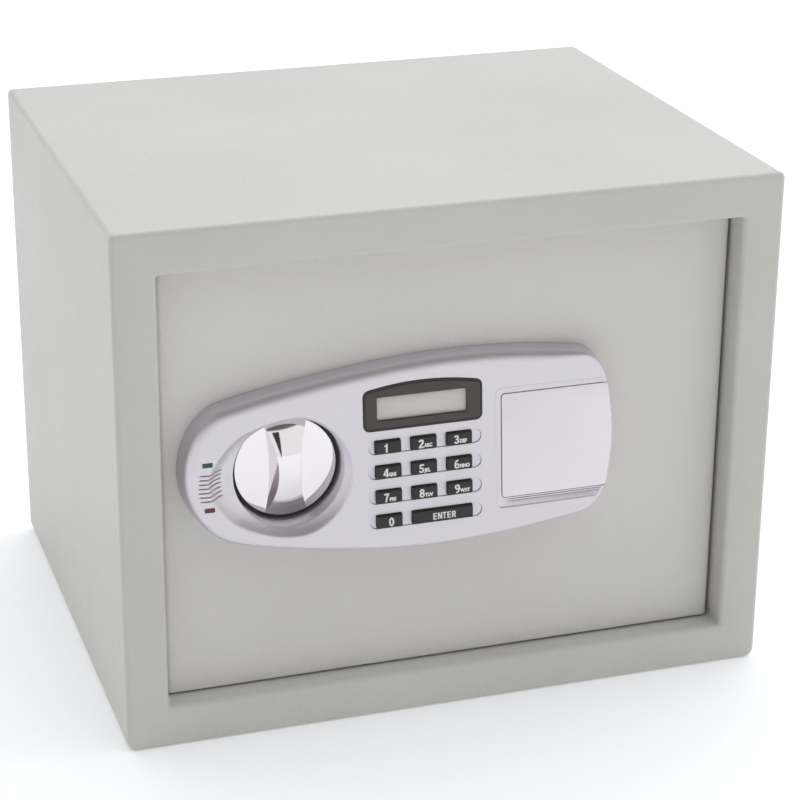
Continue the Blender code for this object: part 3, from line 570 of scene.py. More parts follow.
def inner_cover():
    """Moulded cover on the inside of the door, with a raised frame, screw holes and screws."""
    low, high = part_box("inner_door_cover")
    depth_low, depth_high = low.y - FRONT, high.y - FRONT
    rings = []
    for depth, shrink, corner in (
        (depth_low, 0.0018, 0.0022),
        (depth_high - 0.0018, 0.0018, 0.0022),
        (depth_high - 0.0018, 0.004, 0.0010),
    ):
        outline = rect_within(low, high, shrink, corner)
        rings.append([front(x, depth, z) for x, z in outline])
    rings.reverse()
    for t in range(7):
        turn = math.pi / 2 * t / 6
        shrink = 0.003 * (1 - math.cos(turn))
        outline = rect_within(low, high, shrink, 0.004 - shrink)
        rings.append([front(x, depth_high - 0.003 + 0.003 * math.sin(turn), z) for x, z in outline])
    outer = rings[3:]
    shell = bmesh.new()
    inner_rows = add_loft(shell, rings[2::-1], end_cap=True, start_cap=False)
    outer_rings = [[front(p.x, depth_low, p.z) for p in outer[0]]] + outer
    outer_rows = add_loft(shell, outer_rings, start_cap=False)
    join_rows(shell, [inner_rows[0], outer_rows[0]])
    cover = bare(shell)
    for z in BOLT_HOLE_Z:
        boolean(cover, cylinder_bm(BOLT_HOLE_R, front(-0.160, 0.036, z), front(-0.145, 0.036, z), 40))
    boolean(cover, cylinder_bm(0.0045, front(0.110, 0.044, 0.070), front(0.110, 0.060, 0.070)))
    for x in COVER_SCREW_X:
        for z in COVER_SCREW_Z:
            boolean(cover, cylinder_bm(0.0020, front(x, 0.044, z), front(x, 0.060, z), 20))
    finished("inner_cover_moulding", taken(cover), "dark_plastic", "door", ["inner_door_cover"], 40)

    raised = rect_within(low, high, RIB_INSET, 0.008, 8)
    inner = inset(raised, 0.0022)
    base, top = depth_high - 0.0002, depth_high + 0.0006
    edges = ((raised, base), (inset(raised, 0.0003), top), (inset(inner, -0.0003), top), (inner, base))
    rib = [[front(x, depth, z) for x, z in outline] for outline, depth in edges]
    finished("inner_cover_rib", lofted(rib, looped=True), "dark_plastic", "door")
    for number, (x, z) in enumerate([(x, z) for z in COVER_SCREW_Z for x in COVER_SCREW_X], 1):
        cross_screw(number, x, z, depth_high)
    low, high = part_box("reset_button")
    centre = Vector(((low.x + high.x) / 2, 0, (low.z + high.z) / 2))
    hollow = high.y - 0.0004
    profile = [(0, low.y), (0.004, low.y), (0.004, high.y), (0.0026, high.y), (0.0018, hollow), (0, hollow)]
    cap = turned(rounded_profile(profile, 0.0005), centre, (0, 1, 0), 32)
    finished("reset_cap", cap, "red_plastic", "reset", ["reset_button"])


def cross_screw(number, x, z, depth):
    """Pan-head screw with a cross recess."""
    head = [(0, 0.0021), (0.0016, 0.00205), (0.0028, 0.0016), (0.0036, 0.0008), (0.0038, 0.0003)]
    profile = head + [(0.0015, 0.0003), (0.0015, -0.0300), (0, -0.0305)]
    screw = bare(turned(profile, front(x, depth, z), (0, 1, 0), 32))
    for wide, tall in ((0.0040, 0.0008), (0.0008, 0.0040)):
        low = front(x - wide / 2, depth + 0.0009, z - tall / 2)
        boolean(screw, box_bm(low, front(x + wide / 2, depth + 0.004, z + tall / 2)))
    finished(f"cover_screw_{number}_fine", taken(screw), "zinc_steel", "door", [f"cover_screw_{number}"])


# ---- Control panel


def smooth_outline(knots, resolution):
    points = []
    for (knot, _, after), (following, before, _) in zip(knots, knots[1:] + knots[:1]):
        corners = [Vector((*p, 0)) for p in (knot, after, before, following)]
        points += [(p.x, p.y) for p in interpolate_bezier(*corners, resolution + 1)[:-1]]
    return points


def panel_outline(resolution=20):
    """The panel's outline, clockwise from its left tip over the top."""
    knots = [
        ((-0.1555, 0.0), (-0.1555, -0.019), (-0.1555, 0.019)),
        ((-0.1315, 0.0378), (-0.1440, 0.0348), (-0.1080, 0.0436)),
        ((0.0, 0.0540), (-0.0450, 0.0540), (0.0300, 0.0540)),
        ((0.0745, 0.0480), (0.0550, 0.0512), (0.0825, 0.0462)),
        ((0.0900, 0.0290), (0.0876, 0.0385), (0.0915, 0.0200)),
        ((0.0928, 0.0), (0.0928, 0.0100), (0.0928, -0.0100)),
        ((0.0896, -0.0290), (0.0914, -0.0205), (0.0864, -0.0402)),
        ((0.0720, -0.0478), (0.0800, -0.0462), (0.0520, -0.0517)),
        ((-0.0050, -0.0556), (0.0250, -0.0547), (-0.0480, -0.0569)),
        ((-0.1285, -0.0398), (-0.1065, -0.0465), (-0.1430, -0.0362)),
    ]
    return [(x, z + OVAL_Z) for x, z in smooth_outline(knots, resolution)]


def blend(start_at, end_at, share):
    share = min(max(share, 0), 1)
    return start_at + (end_at - start_at) * share * share * (3 - 2 * share)


def edge_radius(point):
    """Radius of the panel's front edge at a point of its outline."""
    radius = blend(LOW_EDGE_R, TOP_EDGE_R, (point[1] - OVAL_Z + 0.020) / 0.040)
    radius = blend(radius, RIGHT_EDGE_R, (point[0] - 0.050) / 0.036)
    return blend(LEFT_EDGE_R, radius, (point[0] + 0.150) / 0.030)


def face_border():
    """Outline of the panel's face, inside its rounded edge."""
    return inset(panel_outline(), lambda p: DRAFT + edge_radius(p) + 0.0002)


def right_limit(z):
    """Where the face ends on its right at a height."""
    border = face_border()
    crossed = [(a, b) for a, b in zip(border, border[1:] + border[:1]) if (a[1] > z) != (b[1] > z)]
    return max(a[0] + (z - a[1]) / (b[1] - a[1]) * (b[0] - a[0]) for a, b in crossed)


def dish_outline(resolution=16):
    knots = [
        ((-0.1418, -0.0040), (-0.1418, -0.0110), (-0.1418, 0.0030)),
        ((-0.1200, 0.0227), (-0.1310, 0.0185), (-0.1100, 0.0262)),
        ((-0.0920, 0.0283), (-0.1010, 0.0283), (-0.0780, 0.0283)),
        ((-0.0605, -0.0055), (-0.0605, 0.0120), (-0.0605, -0.0230)),
        ((-0.0920, -0.0393), (-0.0760, -0.0393), (-0.1060, -0.0393)),
        ((-0.1250, -0.0298), (-0.1150, -0.0348), (-0.1340, -0.0245)),
    ]
    return [(x, face_z(z)) for x, z in smooth_outline(knots, resolution)]


def face_z(up):
    """Height of a point this far up the leaning face."""
    return FACE_Z + up * math.cos(TILT)


def distance_inside(points, outline):
    """Each point's distance to a closed outline, positive inside it."""
    line = np.array(outline)
    start, end = line, np.roll(line, -1, axis=0)
    along = end - start
    offset = points[:, None, :] - start[None]
    share = np.clip((offset * along).sum(-1) / (along**2).sum(-1), 0, 1)
    gap = np.sqrt(((offset - share[..., None] * along) ** 2).sum(-1)).min(1)
    above = (start[None, :, 1] > points[:, None, 1]) != (end[None, :, 1] > points[:, None, 1])
    rise = np.where(along[:, 1] == 0, 1e-12, along[:, 1])
    crossing = start[:, 0] + (points[:, None, 1] - start[:, 1]) / rise * along[:, 0]
    inside = (above & (points[:, None, 0] < crossing)).sum(1) % 2 == 1
    return np.where(inside, gap, -gap)


def step(value, low, high):
    t = np.clip((value - low) / (high - low), 0, 1)
    return t * t * (3 - 2 * t)


def sound_slots():
    """Centre lines of the level slots left of the knob, which run from the face down into the dish."""
    lines = []
    for i in range(7):
        z = face_z(0.0020 - 0.00243 * i)
        bow = 0.00009 * (i - 3) ** 2
        ends = np.linspace(-0.1474 + bow, -0.1334 + bow, 12)
        lines.append([(x, z - min(x + 0.1474, 0.0056) * 0.06 + max(x + 0.1410, 0) * 0.12) for x in ends])
    return lines


def key_places():
    """(name, (across, up), half width) of each key."""
    made = []
    for digit in range(1, 10):
        column, row = (digit - 1) % 3, (digit - 1) // 3
        made.append((str(digit), (KEY_LEFT + column * KEY_PITCH_X, KEY_TOP - row * KEY_PITCH_Z), KEY_W / 2))
    last = KEY_TOP - 3 * KEY_PITCH_Z
    made.append(("0", (KEY_LEFT, last), KEY_W / 2))
    made.append(("enter", (KEY_LEFT + 1.5 * KEY_PITCH_X, last), KEY_W / 2 + KEY_PITCH_X / 2))
    return made


class Relief:
    """The panel's front as a height field: lines where its shape changes, and the steps they bound."""

    def __init__(self):
        self.dish = dish_outline()
        self.lines = []
        self.steps = []

    def hollow(self, outline, depth, wall, rings=1):
        """A flat-bottomed hollow with this outline, its wall this wide."""
        for i in range(rings + 1):
            self.lines.append((inset(outline, wall * i / rings), True))
        self.steps.append((outline, depth, wall))

    def groove(self, line, depth, width):
        """A rounded groove along an open line."""
        for across in (-0.5, -0.25, 0, 0.25, 0.5):
            self.lines.append(([(p[0], p[1] + across * width) for p in line], False))
        half = width / 2
        outline = [(p[0], p[1] - half) for p in line] + [(p[0], p[1] + half) for p in reversed(line)]
        self.steps.append((outline, depth, half))

    def depth(self, points):
        x, z = points.T
        side = distance_inside(points, self.dish)
        lip = np.where(side > DISH_LIP, side, np.clip(side + DISH_LIP, 0, None) ** 2 / (4 * DISH_LIP))
        depth = face_depth(z) + DISH_DEEP * (1 - (1 - np.clip(lip / DISH_REACH, 0, 1)) ** 2)
        depth += 0.0003 * np.clip(1 - (np.hypot(x - KNOB_X, z - KNOB_Z) - WELL_R) / 0.0005, 0, 1) ** 2
        for outline, deep, wide in self.steps:
            box = np.array(outline)
            low, high = box.min(0) - 0.001, box.max(0) + 0.001
            near = ((points > low) & (points < high)).all(1)
            if near.any():
                depth[near] += deep * step(distance_inside(points[near], outline), 0, wide)
        return depth


def panel_features():
    relief = Relief()
    for i in range(-4, 5):
        relief.lines.append((inset(relief.dish, DISH_LIP * i / 4), True))
    for reach in (0.0018, 0.0030, 0.0045):
        relief.lines.append((inset(relief.dish, reach), True))
    for grow in (0.00017, 0.00033, 0.0005):
        relief.lines.append((arc((KNOB_X, KNOB_Z), WELL_R + grow, 0, 360, 128)[:-1], True))
    for row in range(4):
        up = KEY_TOP - row * KEY_PITCH_Z
        pill = rect_about(PILL_X, face_z(up), *PILL_HALF, 0.00415, 10)
        relief.hollow(pill, 0.00075, 0.00035, 2)
    for _, (across, up), half in key_places():
        pit = rect_about(across, face_z(up), half + 0.00030, KEY_H / 2 + 0.00014, 0.0009, 4)
        relief.hollow(pit, 0.0030, 0.00008)
    display_gap = [(x, face_z(up)) for x, up in bezel_outline(0.00055)]
    relief.hollow(display_gap, 0.0016, 0.00008)
    low, high, left, corner = face_z(-0.0388), face_z(0.0320), 0.0214, 0.0040
    recess = [(right_limit(z) - 0.0005, z) for z in np.linspace(low, high, 36)]
    recess += arc((left + corner, high - corner), corner, 90, 180, 6)
    recess += arc((left + corner, low + corner), corner, 180, 270, 6)
    relief.hollow(recess, 0.00065, 0.0011, 4)
    for up, depth in ((-0.0338, 0.0007), (-0.0349, 0.0004)):
        z = face_z(up)
        relief.groove([(x, z) for x in np.linspace(0.0262, right_limit(z) - 0.0010, 12)], depth, 0.0006)
    for line in sound_slots():
        relief.groove(line, 0.0014, 0.00088)
    pierced = sound_slots()[3]
    relief.groove([p for p in pierced if -0.1395 < p[0] < -0.1350], 0.0018, 0.00070)
    return relief


def triangulated(lines, filler=(), tolerance=1e-7):
    """Points, triangles, their middles and each point's sources.

    Every line comes with whether it is closed, and becomes edges.
    """
    points, edges = [], []
    for line, closed in lines:
        first = len(points)
        points += [Vector(p) for p in line]
        edges += [(first + i, first + i + 1) for i in range(len(line) - 1)]
        if closed:
            edges.append((len(points) - 1, first))
    points += [Vector(p) for p in filler]
    made, _, faces, sources, *_ = delaunay_2d_cdt(points, edges, [], 0, tolerance)
    made, faces = np.array([tuple(p) for p in made]), np.array(faces)
    return made, faces, made[faces].mean(1), sources


def panel_rings(foot, shift=0.0):
    """Rings of the panel's side and rounded edge, from its foot to the flat face."""
    outline = panel_outline()
    rings = [[front(x, foot, z) for x, z in outline]]
    steps = 10
    for i in range(steps + 1):
        turn = math.pi / 2 * i / steps
        moved = inset(outline, lambda p: DRAFT + edge_radius(p) * (1 - math.cos(turn)))
        rounding = [edge_radius(p) * (1 - math.sin(turn)) for p in outline]
        rings.append([front(x, face_depth(z) + shift + back, z) for (x, z), back in zip(moved, rounding)])
    return rings


def panel_housing():
    relief = panel_features()
    outline = panel_outline()
    border = face_border()
    well = arc((KNOB_X, KNOB_Z), WELL_R, 0, 360, 128)[:-1]
    spacing = 0.0030
    grid = [(x, z) for x in np.arange(-0.150, 0.090, spacing) for z in np.arange(0.110, 0.212, spacing)]
    inside = distance_inside(np.array(grid), border) > 0.001
    filler = [p for p, ok in zip(grid, inside) if ok]
    lines = [(border, True), *relief.lines, (well, True)]
    points, faces, middles, sources = triangulated(lines, filler)
    faces = faces[(distance_inside(middles, border) > 0) & (distance_inside(middles, well) < 0)]
    index_of = {source: i for i, found in enumerate(sources) for source in found}
    rim = [index_of[i] for i in range(len(border))]
    depth = relief.depth(points)
    used = sorted(set(faces.ravel()))

    bm = bmesh.new()
    fronts = {i: bm.verts.new(front(points[i][0], depth[i], points[i][1])) for i in used}
    at_well = np.hypot(points[:, 0] - KNOB_X, points[:, 1] - KNOB_Z) < WELL_R + 0.00001
    deep = np.where(at_well, WELL_DEPTH, depth + WALL)
    backs = {i: bm.verts.new(front(points[i][0], deep[i], points[i][1])) for i in used}
    for a, b, c in faces:
        bm.faces.new((fronts[a], fronts[b], fronts[c]))
        bm.faces.new((backs[c], backs[b], backs[a]))
    open_edges = [e for e in bm.edges if len(e.link_faces) == 1]
    rim_set = {fronts[i] for i in rim} | {backs[i] for i in rim}
    back_of = {fronts[i]: backs[i] for i in used}
    for edge in open_edges:
        a, b = edge.verts
        if a in back_of and b in back_of and not (a in rim_set and b in rim_set):
            bm.faces.new((a, b, back_of[b], back_of[a]))

    outer = panel_rings(PANEL_FOOT)
    inner = [[front(x, PANEL_FOOT, z) for x, z in inset(outline, 0.0026)]]
    for behind, wall in ((0.0075, 0.0034), (0.0045, 0.0044)):
        inner.append([front(x, face_depth(z) + behind, z) for x, z in inset(outline, wall)])
    rows = [[bm.verts.new(p) for p in ring] for ring in outer[::-1] + inner]
    rows = [[fronts[i] for i in rim], *rows, [backs[i] for i in rim]]
    join_rows(bm, rows)
    housing = bare(bm)
    corners = (0.0022, 0.0005, 0.0005, 0.0022)
    bay = rounded_rect(BAY_LEFT - 0.0001, 0.100, BAY_BOTTOM - 0.0001, BAY_TOP + 0.0001, corners, 6)
    boolean(housing, column(bay, -0.006, 0.0023))
    opening = rounded_rect(0.0266, 0.100, BAY_BOTTOM + 0.00145, BAY_TOP - 0.00145, 0.0015, 4)
    boolean(housing, column(opening, -0.006, 0.030))
    finished("control_panel", taken(housing), "panel_silver", "door", ["panel_housing"], 38)
    # The well's dark plastic floor is painted shade: a dark part put where the gap under the knob's disc is
    # only in shadow.
    inner_r, outer_r, low = 0.0150, WELL_R + 0.0006, -0.0137
    section = [(inner_r, -WELL_DEPTH), (inner_r, low), (outer_r, low), (outer_r, -WELL_DEPTH)]
    well_floor = turned(section, Vector((KNOB_X, FRONT, KNOB_Z)), (0, -1, 0), 96, looped=True)
    finished("knob_well_painted_shade", well_floor, "dark_plastic", "door")


def battery_cover():
    """Flush cover with its rounded right-hand end, kept thin but for the end's lip."""
    cover = bare(lofted(panel_rings(PANEL_FOOT, 0.0003)))
    gap = 0.00036
    corners = (0.0018, 0.0004, 0.0004, 0.0018)
    keep = rounded_rect(BAY_LEFT + gap, 0.100, BAY_BOTTOM + gap, BAY_TOP - gap, corners, 6)
    boolean(cover, column(keep, -0.008, 0.030), "INTERSECT")
    side, behind, far = 0.00145 + gap, 0.0020, 0.060
    cuts = ((-far, 0.0868, far), (-far, 0.110, BAY_BOTTOM + side), (BAY_TOP - side, 0.110, far))
    for bottom, right, top in cuts:
        boolean(cover, on_face(box_bm((0.015, behind, bottom), (right, 0.040, top))))
    bm = taken(cover)
    bmesh.ops.dissolve_limit(bm, angle_limit=math.radians(0.2), verts=bm.verts, edges=bm.edges)
    bevel_edges(bm, 0.00022, 2, 60)
    finished("battery_cover_lid", bm, "cover_silver", "cover", ["battery_cover"], 38)


def bezel_outline(grow=0.0):
    half_w, radius = 0.0338 + grow, 0.0034 + grow
    bottom, shoulder, crest = BEZEL_BOTTOM - grow, 0.0382 + grow, 0.0414 + grow
    left, right = BEZEL_X - half_w, BEZEL_X + half_w
    rise, half_top = crest - shoulder, half_w - 0.0026
    arch_r = (half_top**2 + rise**2) / (2 * rise)
    # The top corners' circles touch the arch from inside
    top_r = 0.0034 + grow
    across, centre = half_w - top_r, crest - arch_r
    up = math.sqrt((arch_r - top_r) ** 2 - across**2)
    meet = math.degrees(math.atan2(up, across))
    outline = arc((left + radius, bottom + radius), radius, 180, 270, 8)
    outline += arc((right - radius, bottom + radius), radius, 270, 360, 8)
    outline += arc((right - top_r, centre + up), top_r, 0, meet, 8)
    outline += arc((BEZEL_X, centre), arch_r, meet, 180 - meet, 24)[1:-1]
    outline += arc((left + top_r, centre + up), top_r, 180 - meet, 180, 8)
    return outline


def display():
    # A black ring fills the gap round the display surround: painted shade standing in for the shadow in that
    # gap.
    rim = bare(on_face(slab(bezel_outline(0.00045), -0.0003, 0.0011, 0.0003, 3, both=False)))
    boolean(rim, column(bezel_outline(-0.0007), -0.002, 0.003))
    finished("display_shade_rim", taken(rim), "key_black", "door", sharp_deg=30)
    surround = bare(on_face(slab(bezel_outline(-0.0007), -0.0006, 0.0011, 0.0006, 4, both=False)))
    window = rect_about(LCD_X, LCD_Z, *LCD_HALF, 0.0006, 4)
    sides = ((-0.002, -0.0016), (-0.0006, -0.0004), (-0.0002, 0), (0.003, 0))
    flare = [[(x, d, z) for x, z in inset(window, s)] for d, s in sides]
    boolean(surround, on_face(lofted(flare)))
    finished("display_surround_fine", taken(surround), "gloss_black", "door", ["display_surround"], 30)

    pane = on_face(slab(inset(window, 0.0003), -0.0001, 0.0006, 0.0001, 2))
    finished("display_pane", pane, "clear", "door", ["display_window"])
    glass = on_face(slab(inset(window, -0.0004), 0.00115, 0.0050, 0.0002, 2))
    finished("display_glass", glass, "display", "door", ["display_module"])


def lights():
    """Square lenses of the two lights left of the knob."""
    for name, across, up in (("green_led", -0.1417, 0.0076), ("red_led", -0.1415, -0.0179)):
        outline = rect_about(across, up, *LENS_HALF, 0.0004, 3)
        bm = on_face(slab(outline, -0.0002, 0.008, 0.0003, 3, both=False))
        finished(name + "_lens", bm, name.replace("led", "lens"), "door", [name])


LETTERS = {"2": "ABC", "3": "DEF", "4": "GHI", "5": "JKL", "6": "MNO", "7": "PRS", "8": "TUV", "9": "WXY"}


def stroke(line, width=0.23):
    """Outline of a pen stroke with square ends."""
    left, right = [], []
    for i, point in enumerate(line):
        before, after = line[max(i - 1, 0)], line[min(i + 1, len(line) - 1)]
        along = Vector((after[0] - before[0], after[1] - before[1])).normalized() * width / 2
        left.append((point[0] - along.y, point[1] + along.x))
        right.append((point[0] + along.y, point[1] - along.x))
    return left + right[::-1], None


def ring(middle, radii, width=0.19):
    outer = arc(middle, [r + width / 2 for r in radii], 0, 360, 32)[:-1]
    return outer, arc(middle, [r - width / 2 for r in radii], 0, 360, 32)[:-1]


def glyph(sign):
    """Bold upright sign, 1 tall: outlines, each with a hole or None."""
    bar = lambda *points, width=0.20: stroke(list(points), width)
    one = [(0.20, 0), (0.42, 0), (0.42, 1), (0.27, 1), (0.22, 0.86), (0.04, 0.81), (0.04, 0.66), (0.20, 0.66)]
    stem = bar((0.12, 0), (0.12, 1))
    signs = {
        "0": [ring((0.31, 0.5), (0.205, 0.405), 0.20)],
        "1": [(one, None)],
        "2": [
            stroke(arc((0.30, 0.69), (0.205, 0.21), 172, -25) + [(0.13, 0.13)]),
            bar((0.02, 0.095), (0.60, 0.095), width=0.19),
        ],
        "3": [
            stroke(arc((0.28, 0.71), (0.195, 0.195), 165, -80), 0.19),
            stroke(arc((0.29, 0.30), (0.215, 0.205), 80, -165), 0.19),
            bar((0.20, 0.52), (0.34, 0.52), width=0.16),
        ],
        "4": [
            bar((0.42, 0.98), (0.08, 0.34), width=0.17),
            bar((0.02, 0.29), (0.64, 0.29), width=0.18),
            bar((0.45, 0), (0.45, 1)),
        ],
        "5": [
            bar((0.12, 0.905), (0.58, 0.905), width=0.19),
            bar((0.18, 0.95), (0.13, 0.50), width=0.17),
            stroke(arc((0.29, 0.32), (0.215, 0.225), 130, -165), 0.19),
        ],
        "6": [ring((0.31, 0.305), (0.21, 0.21)), stroke(arc((0.36, 0.42), (0.26, 0.485), 68, 190), 0.19)],
        "7": [bar((0.03, 0.905), (0.60, 0.905), width=0.19), bar((0.52, 0.90), (0.36, 0.58), (0.24, 0.0))],
        "8": [ring((0.31, 0.725), (0.185, 0.18), 0.18), ring((0.31, 0.29), (0.21, 0.20), 0.19)],
        "E": [stem, *[bar((0.1, up), (0.58, up), width=0.18) for up in (0.09, 0.5, 0.91)]],
        "N": [stem, bar((0.58, 0), (0.58, 1)), bar((0.12, 0.95), (0.58, 0.05), width=0.22)],
        "T": [bar((0.32, 0), (0.32, 1)), bar((0.02, 0.91), (0.62, 0.91), width=0.18)],
        "R": [
            stem,
            stroke([(0.1, 0.91)] + arc((0.34, 0.70), (0.18, 0.21), 90, -90) + [(0.1, 0.49)], 0.18),
            bar((0.34, 0.5), (0.54, 0.0), width=0.20),
        ],
    }
    if sign == "9":
        turned_round = lambda line: line and [(0.62 - x, 1 - y) for x, y in line]
        return [(turned_round(outer), turned_round(hole)) for outer, hole in glyph("6")]
    return signs[sign]


def sign_bm(sign, height, left, bottom):
    """A sign as a thin plate in (across, in, up)."""
    parts = glyph(sign)
    lines = [(line, True) for part in parts for line in part if line]
    made, faces, middles, _ = triangulated(lines, tolerance=1e-5)
    inked = np.zeros(len(faces), bool)
    for outer, hole in parts:
        inside = distance_inside(middles, outer) > 0
        if hole:
            inside &= distance_inside(middles, hole) < 0
        inked |= inside
    bm = bmesh.new()
    layers = []
    for depth in (-KEY_RISE - 0.00005, -KEY_RISE + 0.0001):
        layers.append([bm.verts.new((left + x * height, depth, bottom + y * height)) for x, y in made])
    for a, b, c in faces[inked]:
        bm.faces.new((layers[0][a], layers[0][b], layers[0][c]))
        bm.faces.new((layers[1][c], layers[1][b], layers[1][a]))
    bm.verts.index_update()
    count = len(made)
    for edge in [e for e in bm.edges if len(e.link_faces) == 1 and e.verts[0].index < count]:
        a, b = (v.index for v in edge.verts)
        bm.faces.new((layers[0][a], layers[0][b], layers[1][b], layers[1][a]))
    bmesh.ops.delete(bm, geom=[v for v in bm.verts if not v.link_faces], context="VERTS")
    return bm


def printed(name, signs, height, left, bottom, body, pitch=0.70):
    """A digit or a word printed on a key."""
    whole = bmesh.new()
    for i, sign in enumerate(signs):
        bm = sign_bm(sign, height, left + i * pitch * height, bottom)
        mesh = bpy.data.meshes.new("sign")
        bm.to_mesh(mesh)
        bm.free()
        whole.from_mesh(mesh)
        bpy.data.meshes.remove(mesh)
    finished(name, on_face(whole), "legend_white", body)


def lettering(name, text, size, place, body, width, bold):
    """Small letters on a key, starting at place, as a thin mesh."""
    across, up = place
    curve = bpy.data.curves.new(name, "FONT")
    curve.body = text
    curve.size = size
    curve.offset = bold
    curve.extrude = 0.00006
    curve.resolution_u = 4
    curve.align_x = "LEFT"
    curve.align_y = "CENTER"
    source = bpy.data.objects.new(name + "_text", curve)
    bpy.context.scene.collection.objects.link(source)
    mesh = evaluated_mesh(source)
    bpy.data.objects.remove(source)
    bpy.data.curves.remove(curve)
    bm = bmesh.new()
    bm.from_mesh(mesh)
    bpy.data.meshes.remove(mesh)
    bm.transform(
        FACE
        @ Matrix.Translation((across, -KEY_RISE - 0.00002, up))
        @ Matrix.Rotation(math.pi / 2, 4, "X")
        @ Matrix.Diagonal((width, 1, 1, 1))
    )
    finished(name, bm, "legend_white", body)


def keypad():
    for name, (across, up), half in key_places():
        body = "cap_" + name
        outline = rect_about(across, up, half, KEY_H / 2, 0.0010)
        cap = on_face(slab(outline, -KEY_RISE, 0.0042, 0.0011, 6, both=False))
        finished("keycap_" + name, cap, "key_black", body, ["key_" + name], 60)
        if name == "enter":
            printed("legend_enter", "ENTER", 0.0038, across - 0.0062, up - 0.0022, body, 0.72)
            continue
        # The two digits without letters sit nearer the key's middle
        left = across - {"0": 0.0010, "1": 0.0029}.get(name, 0.0036)
        printed("legend_" + name, name, 0.0050, left, up - 0.0027, body)
        if name in LETTERS:
            place = (across - 0.0003, up - 0.0014)
            lettering("letters_" + name, LETTERS[name], 0.0028, place, body, 0.84, 0.00019)
    refined(0.0002, "keypad_board")
    refined(0.0005, "buzzer")


def knob():
    """Chrome turn knob: a thin disc and a waisted grip whose front is domed down to the disc's edge."""
    centre = Vector((KNOB_X, FRONT, KNOB_Z))
    back = -0.0121
    disc = [(0, back), (0.0245, back), (KNOB_R, -KNOB_FACE - 0.0012), (KNOB_R, -KNOB_FACE), (0, -KNOB_FACE)]
    body = bare(turned(rounded_profile(disc, 0.00035, 3), centre, (0, -1, 0), 192))
    grip = bare(dome_bm(centre))
    boolean(grip, grip_bm(centre), "INTERSECT")
    boolean(body, taken(grip), "UNION")
    boolean(body, cylinder_bm(0.0043, front(KNOB_X, 0.0050, KNOB_Z), front(KNOB_X, 0.0145, KNOB_Z), 32))
    finished("turn_knob_chrome", taken(body), "chrome", "turn_knob", ["knob"], 24)
    # The hub behind the disc is a real part, and its dark plastic is also painted shade that darkens the gap
    # under the disc.
    hub = [(0.0043, -0.0136), (0.0130, -0.0136), (0.0130, -0.0118), (0.0043, -0.0118)]
    finished("turn_knob_hub_painted_shade", turned(hub, centre, (0, -1, 0), 48, looped=True), "dark_plastic", "turn_knob")
    refined(0.0003, "knob_spindle")
    refined(0.0004, "crank_cam")


def dome_bm(centre):
    """The dome that the grip is cut from."""
    edge = KNOB_R - 0.00025
    profile = [(0, -KNOB_FACE - 0.0006), (edge, -KNOB_FACE - 0.0006)]
    for i in range(25):
        radius = edge * math.cos(math.pi / 2 * i / 24)
        profile.append((radius, max(dome_height(radius), -KNOB_FACE + 0.00002 * (24 - i) / 24)))
    return turned(profile, centre, (0, -1, 0), 192)


def grip_bm(centre):
    """What the dome is cut with: concave sides that slope out to their foot, with a small bevel on top."""
    rows, count, reach = [], 48, 0.030
    for i in range(count + 1):
        up = -reach + 2 * reach * i / count
        share = (up / reach) ** 2
        top_half = 0.0057 + 0.0080 * share
        foot_half = 0.0094 + 0.0033 * share
        crest = dome_height(min(abs(up), KNOB_R))
        foot = -KNOB_FACE - 0.001
        edge = min(0.00045, max(crest - foot, 0.0001) * 0.2)
        crest = max(crest, foot + 0.0002)
        lean = (foot_half - top_half) / max(crest - foot, 0.001)
        half = [(foot_half, foot), (top_half + lean * edge, crest - edge * 1.3)]
        half += [(top_half - edge * 0.5, crest + 0.0004), (top_half - edge, 0.02)]
        row = [(-x, height) for x, height in half] + [(x, height) for x, height in reversed(half)]
        rows.append([centre + Vector((x, -height, up)) for x, height in row])
    return lofted(rows)


def dome_height(radius):
    """How far the grip's front stands before the front plane at a distance from the knob's axis."""
    return -KNOB_TOP - DOME_R + math.sqrt(DOME_R**2 - min(radius, KNOB_R) ** 2)


# ---- Bolt work and battery bay


def bolt_work():
    refined(0.0004, "bolt_carriage")
    for node in ("bolt_upper", "bolt_lower"):
        low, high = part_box(node)
        radius = (high.z - low.z) / 2
        length = high.x - low.x
        profile = [(0, length), (radius - 0.0014, length), (radius, length - 0.0014), (radius, 0), (0, 0)]
        profile = rounded_profile(profile, 0.0008, 4)
        centre = Vector((high.x, (low.y + high.y) / 2, (low.z + high.z) / 2))
        finished(node + "_fine", turned(profile, centre, (-1, 0, 0), 56), "bolt_steel", "bolts", [node])
    refined(0.0003, "solenoid_plunger")


def battery_bay():
    refined(0.0003, "battery_box")
    refined(0.0001, "battery_contact_left", "battery_contact_right")
    for number in range(1, 5):
        node = f"battery_{number}"
        low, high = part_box(node)
        flip = number % 2 == 0
        length = high.x - low.x
        middle_y, middle_z = (low.y + high.y) / 2, (low.z + high.z) / 2
        r = (high.z - low.z) / 2 - 0.00005
        profile = [(0, 0), (0.0046, 0), (0.0048, 0.0002), (r - 0.0012, 0.0002), (r, 0.0010)]
        profile += [(r, length - 0.0022), (r - 0.0010, length - 0.0012)]
        profile += [(0.0036, length - 0.0011), (0.0028, length - 0.0008)]
        profile += [(0.0026, length - 0.0001), (0, length)]
        start_at = Vector((high.x if flip else low.x, middle_y, middle_z))
        cell = turned(rounded_profile(profile, 0.0002, 2), start_at, (-1 if flip else 1, 0, 0), 48)
        finished(node + "_cell", cell, "cell_wrap", "door", [node])


# ---- Stage, light and camera


FLOOR_R = 6.0
CARD_AHEAD, CARD_CORNERS = 0.70, ((-0.036, 0.109), (-0.041, 0.578), (-0.172, 0.578))


